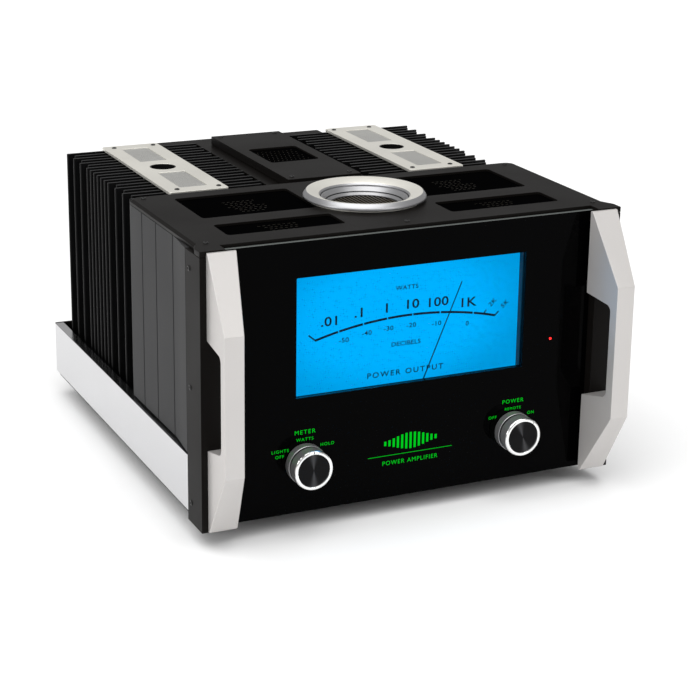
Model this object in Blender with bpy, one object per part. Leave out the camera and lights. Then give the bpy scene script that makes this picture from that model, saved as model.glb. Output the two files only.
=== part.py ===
"""Solid-state mono power amplifier for a hi-fi rack, as an assembly of its separate pieces.

Frame: +Z up, +X to the right seen from the front, the front faces -Y.  The origin is on the
floor, in the middle of the overall width and depth.  Lengths are millimetres until mesh_object
turns them into metres.  Places are given as (x, d, h): x across, d behind the end plates' front
face, h above the end plates' lower edge.
"""
import math

import bmesh
import bpy
from mathutils import Matrix, Vector

# ---- driving dimensions, millimetres ----------------------------------------------------------
WIDTH = 444.5            # overall, across the end plates
DEPTH = 570.0            # overall, handles to speaker terminals
BODY_H = 275.0           # end plates' lower edge to the top plate's face
FOOT_H = 18.0            # floor to the end plates' lower edge
HANDLE_REACH = 43.2      # handles, forward of the end plates
GAP = 0.3                # between pieces that touch

HALF_W = WIDTH / 2.0
SHEET = 2.0              # folded sheet metal
PLATE_T = 2.7            # top plate
LIP_H = 5.4              # top plate's folded edge

END_D = 38.0             # end plates, front to back
GLASS_HALF_W = 196.8
GLASS_D = 10.0           # glass face, behind the end plates' face
GLASS_T = 4.0
METER_HALF_W = 122.4
METER_LOW, METER_HIGH = 117.7, 236.3
DIAL_D = 22.3

SIDE_X = 218.0           # outer face of the side panels and of the top plate's edge
HOUSING_REAR = 215.0     # rear edge of the transformer housing
WINDOW_IN, WINDOW_OUT = 57.0, 177.5   # |x| of the top windows' ends
TRAY_REAR = 477.0
TRAY_LOW, TRAY_HIGH = 9.0, 66.0
PANEL_LOW = 68.3         # lower edge of the side panels

FIN_REAR, FIN_FRONT = 451.0, 233.0
FIN_COUNT = 19
FIN_T = 3.0
SINK_LOW, SINK_HIGH = 11.3, 268.5
DUCT_IN, DUCT_OUT = 114.0, 158.0      # |x| of the two walls of the transistor duct
SPINE_T = 7.0
TRIM_IN, TRIM_OUT = 104.0, 168.5      # |x| of the duct's silver cover

DECK_H = 266.5
REAR_FACE = TRAY_REAR + GAP + SHEET + 0.5

RING_D = 124.5
RING_R, RING_BORE = 62.0, 44.5

KNOB_X, KNOB_H = 113.7, 51.7
KNOB_R, KNOB_REACH = 19.8, 14.0
KNOB_FACE_R = 16.35      # spun disc inside the rim
NEEDLE_H, NEEDLE_LENGTH = 76.7, 146.0
NEEDLE_TILT = math.radians(22.6)      # from upright, towards +X
POST_XS = (-66.0, -22.0, 22.0, 66.0)
POST_H = 196.0
INLET_X, INLET_H = 62.0, 38.0
SOCKET_H = 104.0
XLR_X, RCA_X, TOGGLE_X = -58.0, -12.0, 34.0

MM = 0.001
FRONT_Y = HANDLE_REACH - DEPTH / 2.0

# ---- materials: colour, roughness, metallic ---------------------------------------------------
LOOKS = {
    "satin_aluminium": ((0.72, 0.70, 0.67), 0.35, 1.0),
    "polished_steel": ((0.80, 0.80, 0.80), 0.12, 1.0),
    "black_paint": ((0.035, 0.034, 0.033), 0.45, 0.0),
    "black_anodised": ((0.012, 0.012, 0.013), 0.40, 0.3),
    "black_glass": ((0.005, 0.005, 0.006), 0.03, 0.0),
    "blue_dial": ((0.0, 0.43, 0.95), 0.50, 0.0),
    "black_plastic": ((0.02, 0.02, 0.02), 0.50, 0.0),
    "rubber": ((0.02, 0.02, 0.02), 0.80, 0.0),
    "circuit_board": ((0.02, 0.16, 0.07), 0.55, 0.0),
    "copper": ((0.72, 0.42, 0.18), 0.35, 1.0),
    "gold_plate": ((0.90, 0.66, 0.28), 0.20, 1.0),
    "capacitor_sleeve": ((0.05, 0.09, 0.22), 0.35, 0.0),
    "red_lens": ((0.75, 0.02, 0.02), 0.15, 0.0),
    "transistor_epoxy": ((0.03, 0.03, 0.03), 0.45, 0.0),
}


def material(look):
    """The shared Principled material of one look."""
    if look in bpy.data.materials:
        return bpy.data.materials[look]
    made = bpy.data.materials.new(look)
    made.use_nodes = True
    colour, roughness, metallic = LOOKS[look]
    shader = made.node_tree.nodes["Principled BSDF"]
    shader.inputs["Base Color"].default_value = (*colour, 1.0)
    shader.inputs["Roughness"].default_value = roughness
    shader.inputs["Metallic"].default_value = metallic
    made.diffuse_color = (*colour, 1.0)
    return made


# ---- shapes -----------------------------------------------------------------------------------
def place(x, d, h):
    """A point of the part's frame, in metres."""
    return Vector((x, FRONT_Y + d, FOOT_H + h)) * MM


def mesh_object(name, bm, look, pivot=None, smooth=False):
    """An object from a mesh in millimetres (x, d, h), with its origin on pivot."""
    origin = place(*pivot) if pivot else Vector((0.0, 0.0, 0.0))
    for vert in bm.verts:
        vert.co = place(*vert.co) - origin
    bmesh.ops.recalc_face_normals(bm, faces=bm.faces)
    mesh = bpy.data.meshes.new(name)
    bm.to_mesh(mesh)
    bm.free()
    mesh.materials.append(material(look))
    if smooth:
        mesh.shade_smooth()
        mesh.set_sharp_from_angle(angle=math.radians(35.0))
    made = bpy.data.objects.new(name, mesh)
    made.location = origin
    bpy.context.scene.collection.objects.link(made)
    return made


def add_box(bm, xs, ds, hs):
    """A box from its (low, high) along each direction."""
    size = Vector((xs[1] - xs[0], ds[1] - ds[0], hs[1] - hs[0]))
    middle = Vector((sum(xs), sum(ds), sum(hs))) / 2.0
    bmesh.ops.create_cube(bm, matrix=Matrix.Translation(middle) @ Matrix.Diagonal((*size, 1.0)))


def box(name, xs, ds, hs, look):
    """A box object."""
    bm = bmesh.new()
    add_box(bm, xs, ds, hs)
    return mesh_object(name, bm, look)


def add_prism(bm, outline, low, high, corner):
    """An outline of pairs swept from low to high; corner(pair, level) gives its (x, d, h)."""
    lower = [bm.verts.new(corner(pair, low)) for pair in outline]
    upper = [bm.verts.new(corner(pair, high)) for pair in outline]
    bm.faces.new(lower)
    bm.faces.new(reversed(upper))
    count = len(outline)
    for i in range(count):
        bm.faces.new((lower[i], upper[i], upper[(i + 1) % count], lower[(i + 1) % count]))


def upright(pair, level):
    """A plan outline's corner: (x, d) at a height."""
    return (pair[0], pair[1], level)


def lengthwise(pair, level):
    """A front-view outline's corner: (x, h) at a depth."""
    return (pair[0], level, pair[1])


def prism(name, outline, low, high, look, corner=upright):
    """An extruded outline as an object."""
    bm = bmesh.new()
    add_prism(bm, outline, low, high, corner)
    return mesh_object(name, bm, look)


def arc(centre, radius, start, end, steps):
    """Points along an arc, angles in degrees."""
    angles = [math.radians(start + (end - start) * i / steps) for i in range(steps + 1)]
    return [(centre[0] + radius * math.cos(a), centre[1] + radius * math.sin(a)) for a in angles]


def mirrored(outline):
    """The outline of the piece on the other side of the amplifier."""
    return [(-x, other) for x, other in reversed(outline)]


def add_turned(bm, profile, centre, axis="h", sides=24):
    """A profile of (radius, along) turned about an axis through centre.

    The profile is a closed loop; a radius of 0 at both its ends closes it on the axis.
    """
    def point(radius, along, angle):
        across, up = radius * math.cos(angle), radius * math.sin(angle)
        if axis == "h":
            return (centre[0] + across, centre[1] + up, along)
        return (centre[0] + across, along, centre[2] + up)

    on_axis = profile[0][0] == 0.0
    ends = (profile[0], profile[-1]) if on_axis else ()
    rings = profile[1:-1] if on_axis else profile
    turns = [2.0 * math.pi * i / sides for i in range(sides)]
    loops = [[bm.verts.new(point(r, along, a)) for a in turns] for r, along in rings]
    pairs = list(zip(loops, loops[1:]))
    if not on_axis:
        pairs.append((loops[-1], loops[0]))
    for one, two in pairs:
        for i in range(sides):
            j = (i + 1) % sides
            bm.faces.new((one[i], one[j], two[j], two[i]))
    for end, loop in zip(ends, (loops[0], loops[-1])):
        tip = bm.verts.new(point(0.0, end[1], 0.0))
        for i in range(sides):
            bm.faces.new((tip, loop[i], loop[(i + 1) % sides]))


def turned(name, profile, centre, look, axis="h", sides=24, pivot=None):
    """A turned piece as an object."""
    bm = bmesh.new()
    add_turned(bm, profile, centre, axis, sides)
    return mesh_object(name, bm, look, pivot, smooth=True)


def cylinder_profile(radius, low, high):
    """The profile of a plain cylinder."""
    return [(0.0, low), (radius, low), (radius, high), (0.0, high)]


def combine(piece, bm, operation):
    """Cuts a shape from a piece, or joins it on, with a Boolean modifier and a hidden tool."""
    tool = mesh_object(piece.name + "_tool", bm, "black_plastic")
    tool.hide_render = True
    tool.display_type = "WIRE"
    modifier = piece.modifiers.new(operation.lower(), "BOOLEAN")
    modifier.object = tool
    modifier.operation = operation
    modifier.solver = "EXACT"
    return piece


def rounded_rectangle(xs, ds, radius, steps=3):
    """A rectangle with rounded corners, as an outline of pairs."""
    corners = ((xs[1], ds[1], 0.0), (xs[0], ds[1], 90.0), (xs[0], ds[0], 180.0), (xs[1], ds[0], 270.0))
    points = []
    for x, d, start in corners:
        inset_x = x - math.copysign(radius, x - sum(xs) / 2.0)
        inset_d = d - math.copysign(radius, d - sum(ds) / 2.0)
        points += arc((inset_x, inset_d), radius, start, start + 90.0, steps)
    return points


# ---- tray, panels and feet --------------------------------------------------------------------
def base_chassis():
    """Polished steel tray: floor, two sides and their inward flanges, bent from one sheet."""
    half, lip = HALF_W, 10.0
    right = [(half, TRAY_LOW), (half, TRAY_HIGH), (half - lip, TRAY_HIGH), (half - lip, TRAY_HIGH - SHEET),
             (half - SHEET, TRAY_HIGH - SHEET), (half - SHEET, TRAY_LOW + SHEET)]
    outline = right + mirrored(right)
    prism("base_chassis", outline, END_D + GAP, TRAY_REAR, "polished_steel", lengthwise)


def bottom_plate():
    """Black sheet under the tray and between the end plates, which carries the feet."""
    front, step = GLASS_D + GLASS_T + 3.0, END_D + 4.0
    right = [(196.0, front), (196.0, 22.3), (211.7, 22.3), (211.7, step), (219.0, step),
             (219.0, TRAY_REAR - 3.0)]
    prism("bottom_plate", right + mirrored(right), 4.0, TRAY_LOW - GAP, "black_paint")


def feet():
    """Four round feet with a small chamfer at the floor."""
    profile = [(0.0, -FOOT_H), (15.0, -FOOT_H), (17.0, -FOOT_H + 2.5), (19.0, 4.0 - GAP), (0.0, 4.0 - GAP)]
    for side, x in (("left", -170.0), ("right", 170.0)):
        for end, d in (("front", 105.0), ("rear", 430.0)):
            turned(f"foot_{end}_{side}", profile, (x, d, 0.0), "rubber", sides=14)


def rear_panel():
    """Back panel: as wide as the tray below, narrower between the heat sinks above."""
    right = [(HALF_W - 1.0, TRAY_LOW), (HALF_W - 1.0, TRAY_HIGH), (TRIM_IN - 4.0, TRAY_HIGH),
             (TRIM_IN - 4.0, DECK_H - SHEET - GAP)]
    outline = right + mirrored(right)
    panel = prism("rear_panel", outline, TRAY_REAR + GAP, REAR_FACE, "black_paint", lengthwise)
    bm = bmesh.new()
    reach = (TRAY_REAR - 5.0, REAR_FACE + 5.0)
    add_box(bm, (INLET_X - 14.6, INLET_X + 14.6), reach, (INLET_H - 11.1, INLET_H + 11.1))
    for x, radius in ((XLR_X, 11.8), (RCA_X, 5.4), (TOGGLE_X, 6.4)):
        add_turned(bm, cylinder_profile(radius, *reach), (x, 0.0, SOCKET_H), "d", 20)
    combine(panel, bm, "DIFFERENCE")


def end_plates():
    """Black plates at the two front corners, which hold the glass between them and the handles."""
    outline = [(HALF_W, 0.0), (HALF_W, END_D), (212.0, END_D), (212.0, 22.0), (GLASS_HALF_W + 0.5, 22.0),
               (GLASS_HALF_W + 0.5, 0.0)]
    top = BODY_H - LIP_H - GAP
    prism("end_plate_right", outline, 0.0, top, "black_paint")
    prism("end_plate_left", mirrored(outline), 0.0, top, "black_paint")


def handle_outline():
    """Side view of a handle as (d, h): two legs on the end plate, a slim grip in front."""
    back, grip = -GAP, -33.8
    bend = 7.0
    outside = [(back, 1.2), (-3.4, 1.2), (-HANDLE_REACH, 69.0), (-HANDLE_REACH, 205.5), (-3.5, 273.8),
               (back, 273.8)]
    upper = [(back, 190.3), (grip + 8.0, 185.6)] + arc((grip + bend, 178.5), bend, 112.0, 180.0, 3)
    lower = arc((grip + bend, 95.5), bend, 180.0, 260.0, 3) + [(back, 82.8)]
    return outside + upper + lower


def handles():
    """Satin aluminium handles whose inner face leans away from the glass towards the grip."""
    def slanted(pair, level):
        """Corner of a handle: level 0 is the inner face, 1 the outer."""
        forward = (-3.4 - pair[0]) / (HANDLE_REACH - 3.4)
        inner = 187.8 + 8.3 * forward
        outer = 216.2 - 0.6 * forward
        return (inner + level * (outer - inner), pair[0], pair[1])

    def other_side(pair, level):
        x, d, h = slanted(pair, level)
        return (-x, d, h)

    prism("handle_right", handle_outline(), 0.0, 1.0, "satin_aluminium", slanted)
    prism("handle_left", handle_outline(), 0.0, 1.0, "satin_aluminium", other_side)


def front_glass():
    """Front panel glass, with a hole for each knob's shaft."""
    rear = GLASS_D + GLASS_T
    glass = box("front_glass", (-GLASS_HALF_W, GLASS_HALF_W), (GLASS_D, rear), (0.6, 272.0), "black_glass")
    bm = bmesh.new()
    for x in (-KNOB_X, KNOB_X):
        add_turned(bm, cylinder_profile(4.0, GLASS_D - 3.0, rear + 3.0), (x, 0.0, KNOB_H), "d", 16)
    combine(glass, bm, "DIFFERENCE")


def front_subpanel():
    """Steel sheet that the glass is bonded to, open at the meter."""
    front = GLASS_D + GLASS_T + GAP
    xs = (-GLASS_HALF_W, GLASS_HALF_W)
    panel = box("front_subpanel", xs, (front, front + 1.7), (1.0, 268.0), "black_paint")
    bm = bmesh.new()
    add_box(bm, (-METER_HALF_W, METER_HALF_W), (front - 4.0, front + 5.0), (METER_LOW, METER_HIGH))
    for x in (-KNOB_X, KNOB_X):
        add_turned(bm, cylinder_profile(6.0, front - 4.0, front + 5.0), (x, 0.0, KNOB_H), "d", 16)
    add_turned(bm, cylinder_profile(2.6, front - 4.0, front + 5.0), (154.0, 0.0, 143.0), "d", 12)
    combine(panel, bm, "DIFFERENCE")


# ---- transformer housing ----------------------------------------------------------------------
def top_outline(inset):
    """Plan of the top plate; its side and rear edges move in by inset."""
    side, rear = SIDE_X - inset, HOUSING_REAR - inset
    right = [(GLASS_HALF_W, 15.6), (GLASS_HALF_W, 0.0), (HALF_W, 0.0), (HALF_W, 13.0), (side, 27.0)]
    right += arc((side - 9.0, rear - 9.0), 9.0, 0.0, 90.0, 3)
    return right + mirrored(right)


def top_plate():
    """Top plate: a sheet with a chamfered, folded edge, four window openings and the ring's hole."""
    bm = bmesh.new()
    levels = ((0.0, BODY_H - LIP_H), (0.0, BODY_H - 2.2), (2.6, BODY_H))
    loops = [[bm.verts.new((x, d, h)) for x, d in top_outline(inset)] for inset, h in levels]
    bm.faces.new(loops[0])
    bm.faces.new(reversed(loops[-1]))
    count = len(loops[0])
    for one, two in zip(loops, loops[1:]):
        for i in range(count):
            bm.faces.new((one[i], two[i], two[(i + 1) % count], one[(i + 1) % count]))
    plate = mesh_object("top_plate", bm, "black_paint")

    bm = bmesh.new()
    add_box(bm, (-212.0, 212.0), (19.0, 211.0), (BODY_H - LIP_H - 4.0, BODY_H - PLATE_T))
    combine(plate, bm, "DIFFERENCE")
    bm = bmesh.new()
    for ds in ((44.5, 84.0), (110.5, 192.5)):
        for side in (-1.0, 1.0):
            xs = sorted((side * WINDOW_IN, side * WINDOW_OUT))
            outline = rounded_rectangle(xs, ds, 4.0, 2)
            add_prism(bm, outline, BODY_H - 4.0, BODY_H + 4.0, upright)
    combine(plate, bm, "DIFFERENCE")
    bm = bmesh.new()
    add_turned(bm, cylinder_profile(46.0, BODY_H - 4.0, BODY_H + 4.0), (0.0, RING_D, 0.0), "h", 24)
    combine(plate, bm, "DIFFERENCE")


def top_glass():
    """One sheet of black glass under the top plate's windows, open under the ring."""
    low = BODY_H - LIP_H + GAP
    sheet = box("top_glass", (-211.5, 211.5), (19.5, 210.5), (low, BODY_H - PLATE_T - GAP), "black_glass")
    bm = bmesh.new()
    add_turned(bm, cylinder_profile(46.0, low - 3.0, low + 6.0), (0.0, RING_D, 0.0), "h", 24)
    combine(sheet, bm, "DIFFERENCE")


def trim_ring():
    """Silver ring on the top plate: a bevelled outer edge and a shallow dished face."""
    base = BODY_H + GAP
    profile = [(58.0, base), (58.0, base + 1.6), (RING_R, base + 2.2), (RING_R, base + 4.2),
               (58.4, base + 8.7), (57.2, base + 8.7), (46.0, base + 4.6), (RING_BORE, base + 3.4),
               (RING_BORE, base)]
    turned("trim_ring", profile, (0.0, RING_D, 0.0), "satin_aluminium", sides=36)


def ring_grille():
    """Dished metal grille inside the ring, with straight slots over the transformer."""
    top = BODY_H + 2.4
    profile = [(0.0, top - 10.0), (50.0, top - 10.0), (50.0, top - 7.9), (45.0, top - 7.9), (44.0, top),
               (42.0, top), (37.0, top - 8.0), (0.0, top - 8.0)]
    grille = turned("ring_grille", profile, (0.0, RING_D, 0.0), "satin_aluminium", sides=24)
    bm = bmesh.new()
    for i in range(-5, 6):
        x = 6.0 * i
        reach = math.sqrt(33.0 ** 2 - x ** 2)
        add_box(bm, (x - 1.5, x + 1.5), (RING_D - reach, RING_D + reach), (top - 14.0, top - 4.0))
    combine(grille, bm, "DIFFERENCE")


def side_panels():
    """Side panels of the housing: flared to the end plates in front, three grooves, a rounded rear corner."""
    outline = [(HALF_W, END_D + GAP), (220.2, 58.0), (SIDE_X, 78.0)]
    for d in (84.0, 132.0, 173.0):
        outline += [(SIDE_X, d - 1.0), (SIDE_X - 1.5, d - 1.0), (SIDE_X - 1.5, d + 1.0), (SIDE_X, d + 1.0)]
    outline += arc((SIDE_X - 8.0, HOUSING_REAR - 8.0), 8.0, 0.0, 60.0, 3)
    outline += [(211.0, HOUSING_REAR - 1.0), (211.0, END_D + GAP)]
    top = BODY_H - LIP_H - GAP
    prism("side_panel_right", outline, PANEL_LOW, top, "black_paint")
    prism("side_panel_left", mirrored(outline), PANEL_LOW, top, "black_paint")


def housing_rear_wall():
    """Wall that closes the transformer housing behind the top plate."""
    box("housing_rear_wall", (-210.7, 210.7), (HOUSING_REAR - 4.0, HOUSING_REAR - 2.0),
        (TRAY_LOW + SHEET + GAP, BODY_H - LIP_H - GAP), "black_paint")


# ---- heat sinks -------------------------------------------------------------------------------
def fin_is_long(i):
    """Fins alternate long and short, and the middle five are all long."""
    return i % 2 == 0 or abs(i - FIN_COUNT // 2) <= 2


def comb_outline(spine_back, spine_face, long_tip, short_tip):
    """Plan of an extruded heat sink on the +X side: a spine with fins out of one face."""
    pitch = (FIN_REAR - FIN_FRONT) / (FIN_COUNT - 1)
    half = FIN_T / 2.0
    teeth = []
    for i in range(FIN_COUNT):
        d = FIN_FRONT + pitch * i
        tip = long_tip if fin_is_long(i) else short_tip
        teeth += [(spine_face, d - half), (tip, d - half + 0.4)]
        teeth += [(tip, d + half - 0.4), (spine_face, d + half)]
    return teeth + [(spine_back, FIN_REAR + half), (spine_back, FIN_FRONT - half)]


def heatsinks():
    """Black extrusions on both sides of each transistor duct."""
    outer = comb_outline(DUCT_OUT, DUCT_OUT + SPINE_T, 210.0, 204.5)
    inner = comb_outline(DUCT_IN, DUCT_IN - SPINE_T, 58.0, 62.0)
    for kind, outline in (("outer", outer), ("inner", inner)):
        prism(f"heatsink_{kind}_right", outline, SINK_LOW, SINK_HIGH, "black_anodised")
        prism(f"heatsink_{kind}_left", mirrored(outline), SINK_LOW, SINK_HIGH, "black_anodised")


def duct_covers():
    """Silver plates on the ducts, with a round vent in the middle."""
    middle_d = (229.5 + 455.0) / 2.0
    low = SINK_HIGH + GAP
    for side, sign in (("left", -1.0), ("right", 1.0)):
        xs = sorted((sign * TRIM_IN, sign * TRIM_OUT))
        outline = rounded_rectangle(xs, (229.5, 455.0), 3.0, 2)
        cover = prism(f"duct_cover_{side}", outline, low, low + 3.2, "satin_aluminium")
        bm = bmesh.new()
        centre = (sum(xs) / 2.0, middle_d, 0.0)
        add_turned(bm, cylinder_profile(14.0, low - 4.0, low + 8.0), centre, "h", 24)
        combine(cover, bm, "DIFFERENCE")


def transistor_banks():
    """Output transistors on a clamping bar against each duct's outer wall."""
    for side, sign in (("left", -1.0), ("right", 1.0)):
        wall = DUCT_OUT - GAP
        bank = box(f"output_transistors_{side}", sorted((sign * wall, sign * (wall - 5.0))), (245.0, 440.0),
                   (90.0, 190.0), "transistor_epoxy")
        bm = bmesh.new()
        for i in range(7):
            d = 252.0 + 27.0 * i
            for h in (100.0, 150.0):
                add_box(bm, sorted((sign * (wall - 4.0), sign * (wall - 10.0))), (d, d + 18.0), (h, h + 30.0))
        combine(bank, bm, "UNION")


# ---- centre of the rear deck ------------------------------------------------------------------
def centre_deck():
    """Lower deck between the heat sinks, widening behind them over the rear panel."""
    right = [(56.0, HOUSING_REAR + 1.0), (56.0, 455.6), (TRIM_IN, 455.6), (TRIM_IN, TRAY_REAR)]
    prism("centre_deck", right + mirrored(right), DECK_H - SHEET, DECK_H, "black_paint")


def centre_cover():
    """Raised lid on the deck with a window."""
    low, high = DECK_H + GAP, 276.2
    lid = box("centre_cover", (-41.5, 41.5), (221.0, 446.0), (low, high), "black_paint")
    bm = bmesh.new()
    add_box(bm, (-39.0, 39.0), (223.5, 443.5), (low - 4.0, high - 2.5))
    combine(lid, bm, "DIFFERENCE")
    bm = bmesh.new()
    add_prism(bm, rounded_rectangle((-28.2, 28.2), (299.0, 368.0), 4.0, 2), high - 6.0, high + 4.0, upright)
    combine(lid, bm, "DIFFERENCE")
    box("cover_glass", (-34.0, 34.0), (292.0, 375.0), (high - 4.7, high - 2.5 - GAP), "black_glass")


# ---- meter ------------------------------------------------------------------------------------
def meter_box():
    """Light box behind the meter opening: five walls, open in front."""
    front, back = GLASS_D + GLASS_T + GAP + 1.7 + GAP, 62.0
    wall = 2.5
    half, low, high = METER_HALF_W + wall + 0.1, 66.5, METER_HIGH + wall + 0.1
    shell = box("meter_box", (-half, half), (front, back), (low, high), "black_plastic")
    bm = bmesh.new()
    add_box(bm, (-half + wall, half - wall), (front - 5.0, back - wall), (low + wall, high - wall))
    combine(shell, bm, "DIFFERENCE")


def dial_plate():
    """Translucent blue scale in the light box."""
    half = METER_HALF_W - GAP
    box("dial_plate", (-half, half), (DIAL_D, DIAL_D + 1.5), (108.0, METER_HIGH - GAP), "blue_dial")


def meter_movement():
    """Moving-coil movement below the scale, a can with a boss for the needle's pivot."""
    centre = (0.0, 0.0, NEEDLE_H)
    profile = [(0.0, 20.4), (2.2, 20.4), (2.2, 24.4), (6.2, 24.4), (6.2, 46.0), (0.0, 46.0)]
    turned("meter_movement", profile, centre, "black_plastic", "d", 20)


def needle():
    """Needle on its pivot, tilted to the reading it shows."""
    bm = bmesh.new()
    front, back = 18.0, 18.8
    outline = [(-0.55, -6.5), (0.55, -6.5), (0.40, NEEDLE_LENGTH), (-0.40, NEEDLE_LENGTH)]
    cos, sin = math.cos(NEEDLE_TILT), math.sin(NEEDLE_TILT)

    def leaned(pair, level):
        across, along = pair
        return (across * cos + along * sin, level, NEEDLE_H + along * cos - across * sin)

    add_prism(bm, outline, front, back, leaned)
    pointer = mesh_object("needle", bm, "black_plastic", pivot=(0.0, front, NEEDLE_H))
    bm = bmesh.new()
    add_turned(bm, cylinder_profile(4.0, 17.0, 20.0), (0.0, 0.0, NEEDLE_H), "d", 16)
    combine(pointer, bm, "UNION")


def status_led():
    """Red lamp behind the glass at the right of the meter."""
    profile = [(0.0, 14.4), (1.4, 14.6), (2.0, 15.6), (2.0, 23.0), (0.0, 23.0)]
    turned("status_led", profile, (154.0, 0.0, 143.0), "red_lens", "d", 12)


# ---- controls ---------------------------------------------------------------------------------
def knobs_and_switches():
    """Two turned knobs on the shafts of their rotary switches."""
    face = -KNOB_REACH
    profile = [(0.0, face + 1.2), (KNOB_FACE_R, face + 1.2), (KNOB_FACE_R + 0.4, face), (KNOB_R - 1.3, face),
               (KNOB_R, face + 1.4), (KNOB_R - 0.3, face + 2.0), (KNOB_R - 0.3, -1.6), (KNOB_R - 2.9, -1.6),
               (KNOB_R - 2.9, 0.9), (KNOB_R, 0.9), (KNOB_R, GLASS_D - 0.8), (3.0, GLASS_D - 0.8), (3.0, 23.4),
               (0.0, 23.4)]
    bushing = [(3.4, 16.8), (5.2, 16.8), (5.2, 23.8), (3.4, 23.8)]
    for name, x in (("meter", -KNOB_X), ("power", KNOB_X)):
        turned(f"{name}_knob", profile, (x, 0.0, KNOB_H), "satin_aluminium", "d", 24, pivot=(x, 0.0, KNOB_H))
        hs = (KNOB_H - 12.0, KNOB_H + 12.0)
        body = box(f"{name}_switch", (x - 12.0, x + 12.0), (23.7, 37.5), hs, "black_plastic")
        bm = bmesh.new()
        add_turned(bm, bushing, (x, 0.0, KNOB_H), "d", 16)
        combine(body, bm, "UNION")


def control_board():
    """Board behind the two switches, with a few raised components."""
    board = box("control_board", (-150.0, 150.0), (37.8, 39.4), (20.0, 60.0), "circuit_board")
    bm = bmesh.new()
    for x in (-70.0, -30.0, 10.0, 50.0):
        add_box(bm, (x, x + 18.0), (39.0, 43.0), (30.0, 46.0))
    combine(board, bm, "UNION")


# ---- inside -----------------------------------------------------------------------------------
def power_transformer():
    """Two stacked toroids in the middle of the housing, under the ring."""
    low, high, outer, inner, edge = TRAY_LOW + SHEET + GAP, 262.0, 58.0, 20.0, 9.0
    half = (high - low) / 2.0
    waist = low + half
    outside = [(outer - edge, low), (outer, low + edge), (outer, waist - edge), (outer - edge, waist),
               (outer, waist + edge), (outer, high - edge), (outer - edge, high)]
    inside = [(inner + edge, high), (inner, high - edge), (inner, waist + edge), (inner + edge, waist),
              (inner, waist - edge), (inner, low + edge), (inner + edge, low)]
    turned("power_transformer", outside + inside, (0.0, RING_D, 0.0), "copper", sides=18)


def output_autoformer():
    """Laminated core with a bulging copper winding, on the right of the housing."""
    hs = (TRAY_LOW + SHEET + GAP, 228.0)
    core = box("output_autoformer", (86.0, 196.0), (84.0, 188.0), hs, "black_anodised")
    bm = bmesh.new()
    add_box(bm, (100.0, 182.0), (68.0, 205.0), (50.0, 190.0))
    combine(core, bm, "UNION")


def filter_capacitors():
    """Four large cans on the left of the housing."""
    low = TRAY_LOW + SHEET + GAP
    can = cylinder_profile(32.0, low, 205.0)
    for i, (x, d) in enumerate(((-168.0, 102.0), (-98.0, 102.0), (-168.0, 172.0), (-98.0, 172.0)), start=1):
        turned(f"filter_capacitor_{i}", can, (x, d, 0.0), "capacitor_sleeve", sides=16)


def circuit_boards():
    """Power supply board on the tray, and one driver board beside each heat sink."""
    low = 22.0
    supply = box("power_supply_board", (-40.0, 40.0), (230.0, 440.0), (low, low + 1.6), "circuit_board")
    bm = bmesh.new()
    for d in (250.0, 300.0, 350.0, 400.0):
        add_box(bm, (-26.0, 26.0), (d, d + 26.0), (low + 1.0, low + 22.0))
    for x in (-36.0, 30.0):
        for d in (234.0, 430.0):
            add_box(bm, (x, x + 6.0), (d, d + 6.0), (TRAY_LOW + SHEET + GAP, low + 1.0))
    combine(supply, bm, "UNION")
    for side, sign in (("left", -1.0), ("right", 1.0)):
        xs = sorted((sign * 52.0, sign * 53.6))
        board = box(f"driver_board_{side}", xs, (230.0, 445.0), (60.0, 255.0), "circuit_board")
        bm = bmesh.new()
        for d in (255.0, 320.0, 385.0):
            add_box(bm, sorted((sign * 52.5, sign * 44.0)), (d, d + 30.0), (110.0, 190.0))
        combine(board, bm, "UNION")


# ---- rear connections -------------------------------------------------------------------------
def mains_inlet():
    """Recessed mains inlet with three flat blades."""
    face = REAR_FACE + GAP
    hs = (INLET_H - 14.0, INLET_H + 14.0)
    inlet = box("mains_inlet", (INLET_X - 25.0, INLET_X + 25.0), (face, face + 3.0), hs, "black_plastic")
    bm = bmesh.new()
    add_box(bm, (INLET_X - 14.2, INLET_X + 14.2), (455.0, face + 1.0), (INLET_H - 10.7, INLET_H + 10.7))
    combine(inlet, bm, "UNION")
    bm = bmesh.new()
    add_box(bm, (INLET_X - 12.2, INLET_X + 12.2), (459.0, face + 8.0), (INLET_H - 8.7, INLET_H + 8.7))
    combine(inlet, bm, "DIFFERENCE")
    bm = bmesh.new()
    for x in (-7.0, 0.0, 7.0):
        add_box(bm, (INLET_X + x - 0.9, INLET_X + x + 0.9), (457.0, 476.0), (INLET_H - 3.0, INLET_H + 3.0))
    combine(inlet, bm, "UNION")


def input_sockets():
    """Balanced socket with a ring groove, and a coaxial phono socket."""
    face = REAR_FACE + GAP
    profile = [(0.0, 462.0), (11.4, 462.0), (11.4, face), (13.5, face), (13.5, face + 2.5),
               (10.2, face + 2.5), (10.2, 470.0), (8.0, 470.0), (8.0, face + 1.5), (0.0, face + 1.5)]
    turned("xlr_socket", profile, (XLR_X, 0.0, SOCKET_H), "black_plastic", "d", 16)
    profile = [(0.0, 465.0), (5.0, 465.0), (5.0, face), (7.0, face), (7.0, face + 2.0), (4.2, face + 2.0),
               (4.2, face + 12.0), (1.7, face + 12.0), (1.7, face + 4.0), (0.0, face + 4.0)]
    turned("rca_socket", profile, (RCA_X, 0.0, SOCKET_H), "gold_plate", "d", 16)


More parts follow.
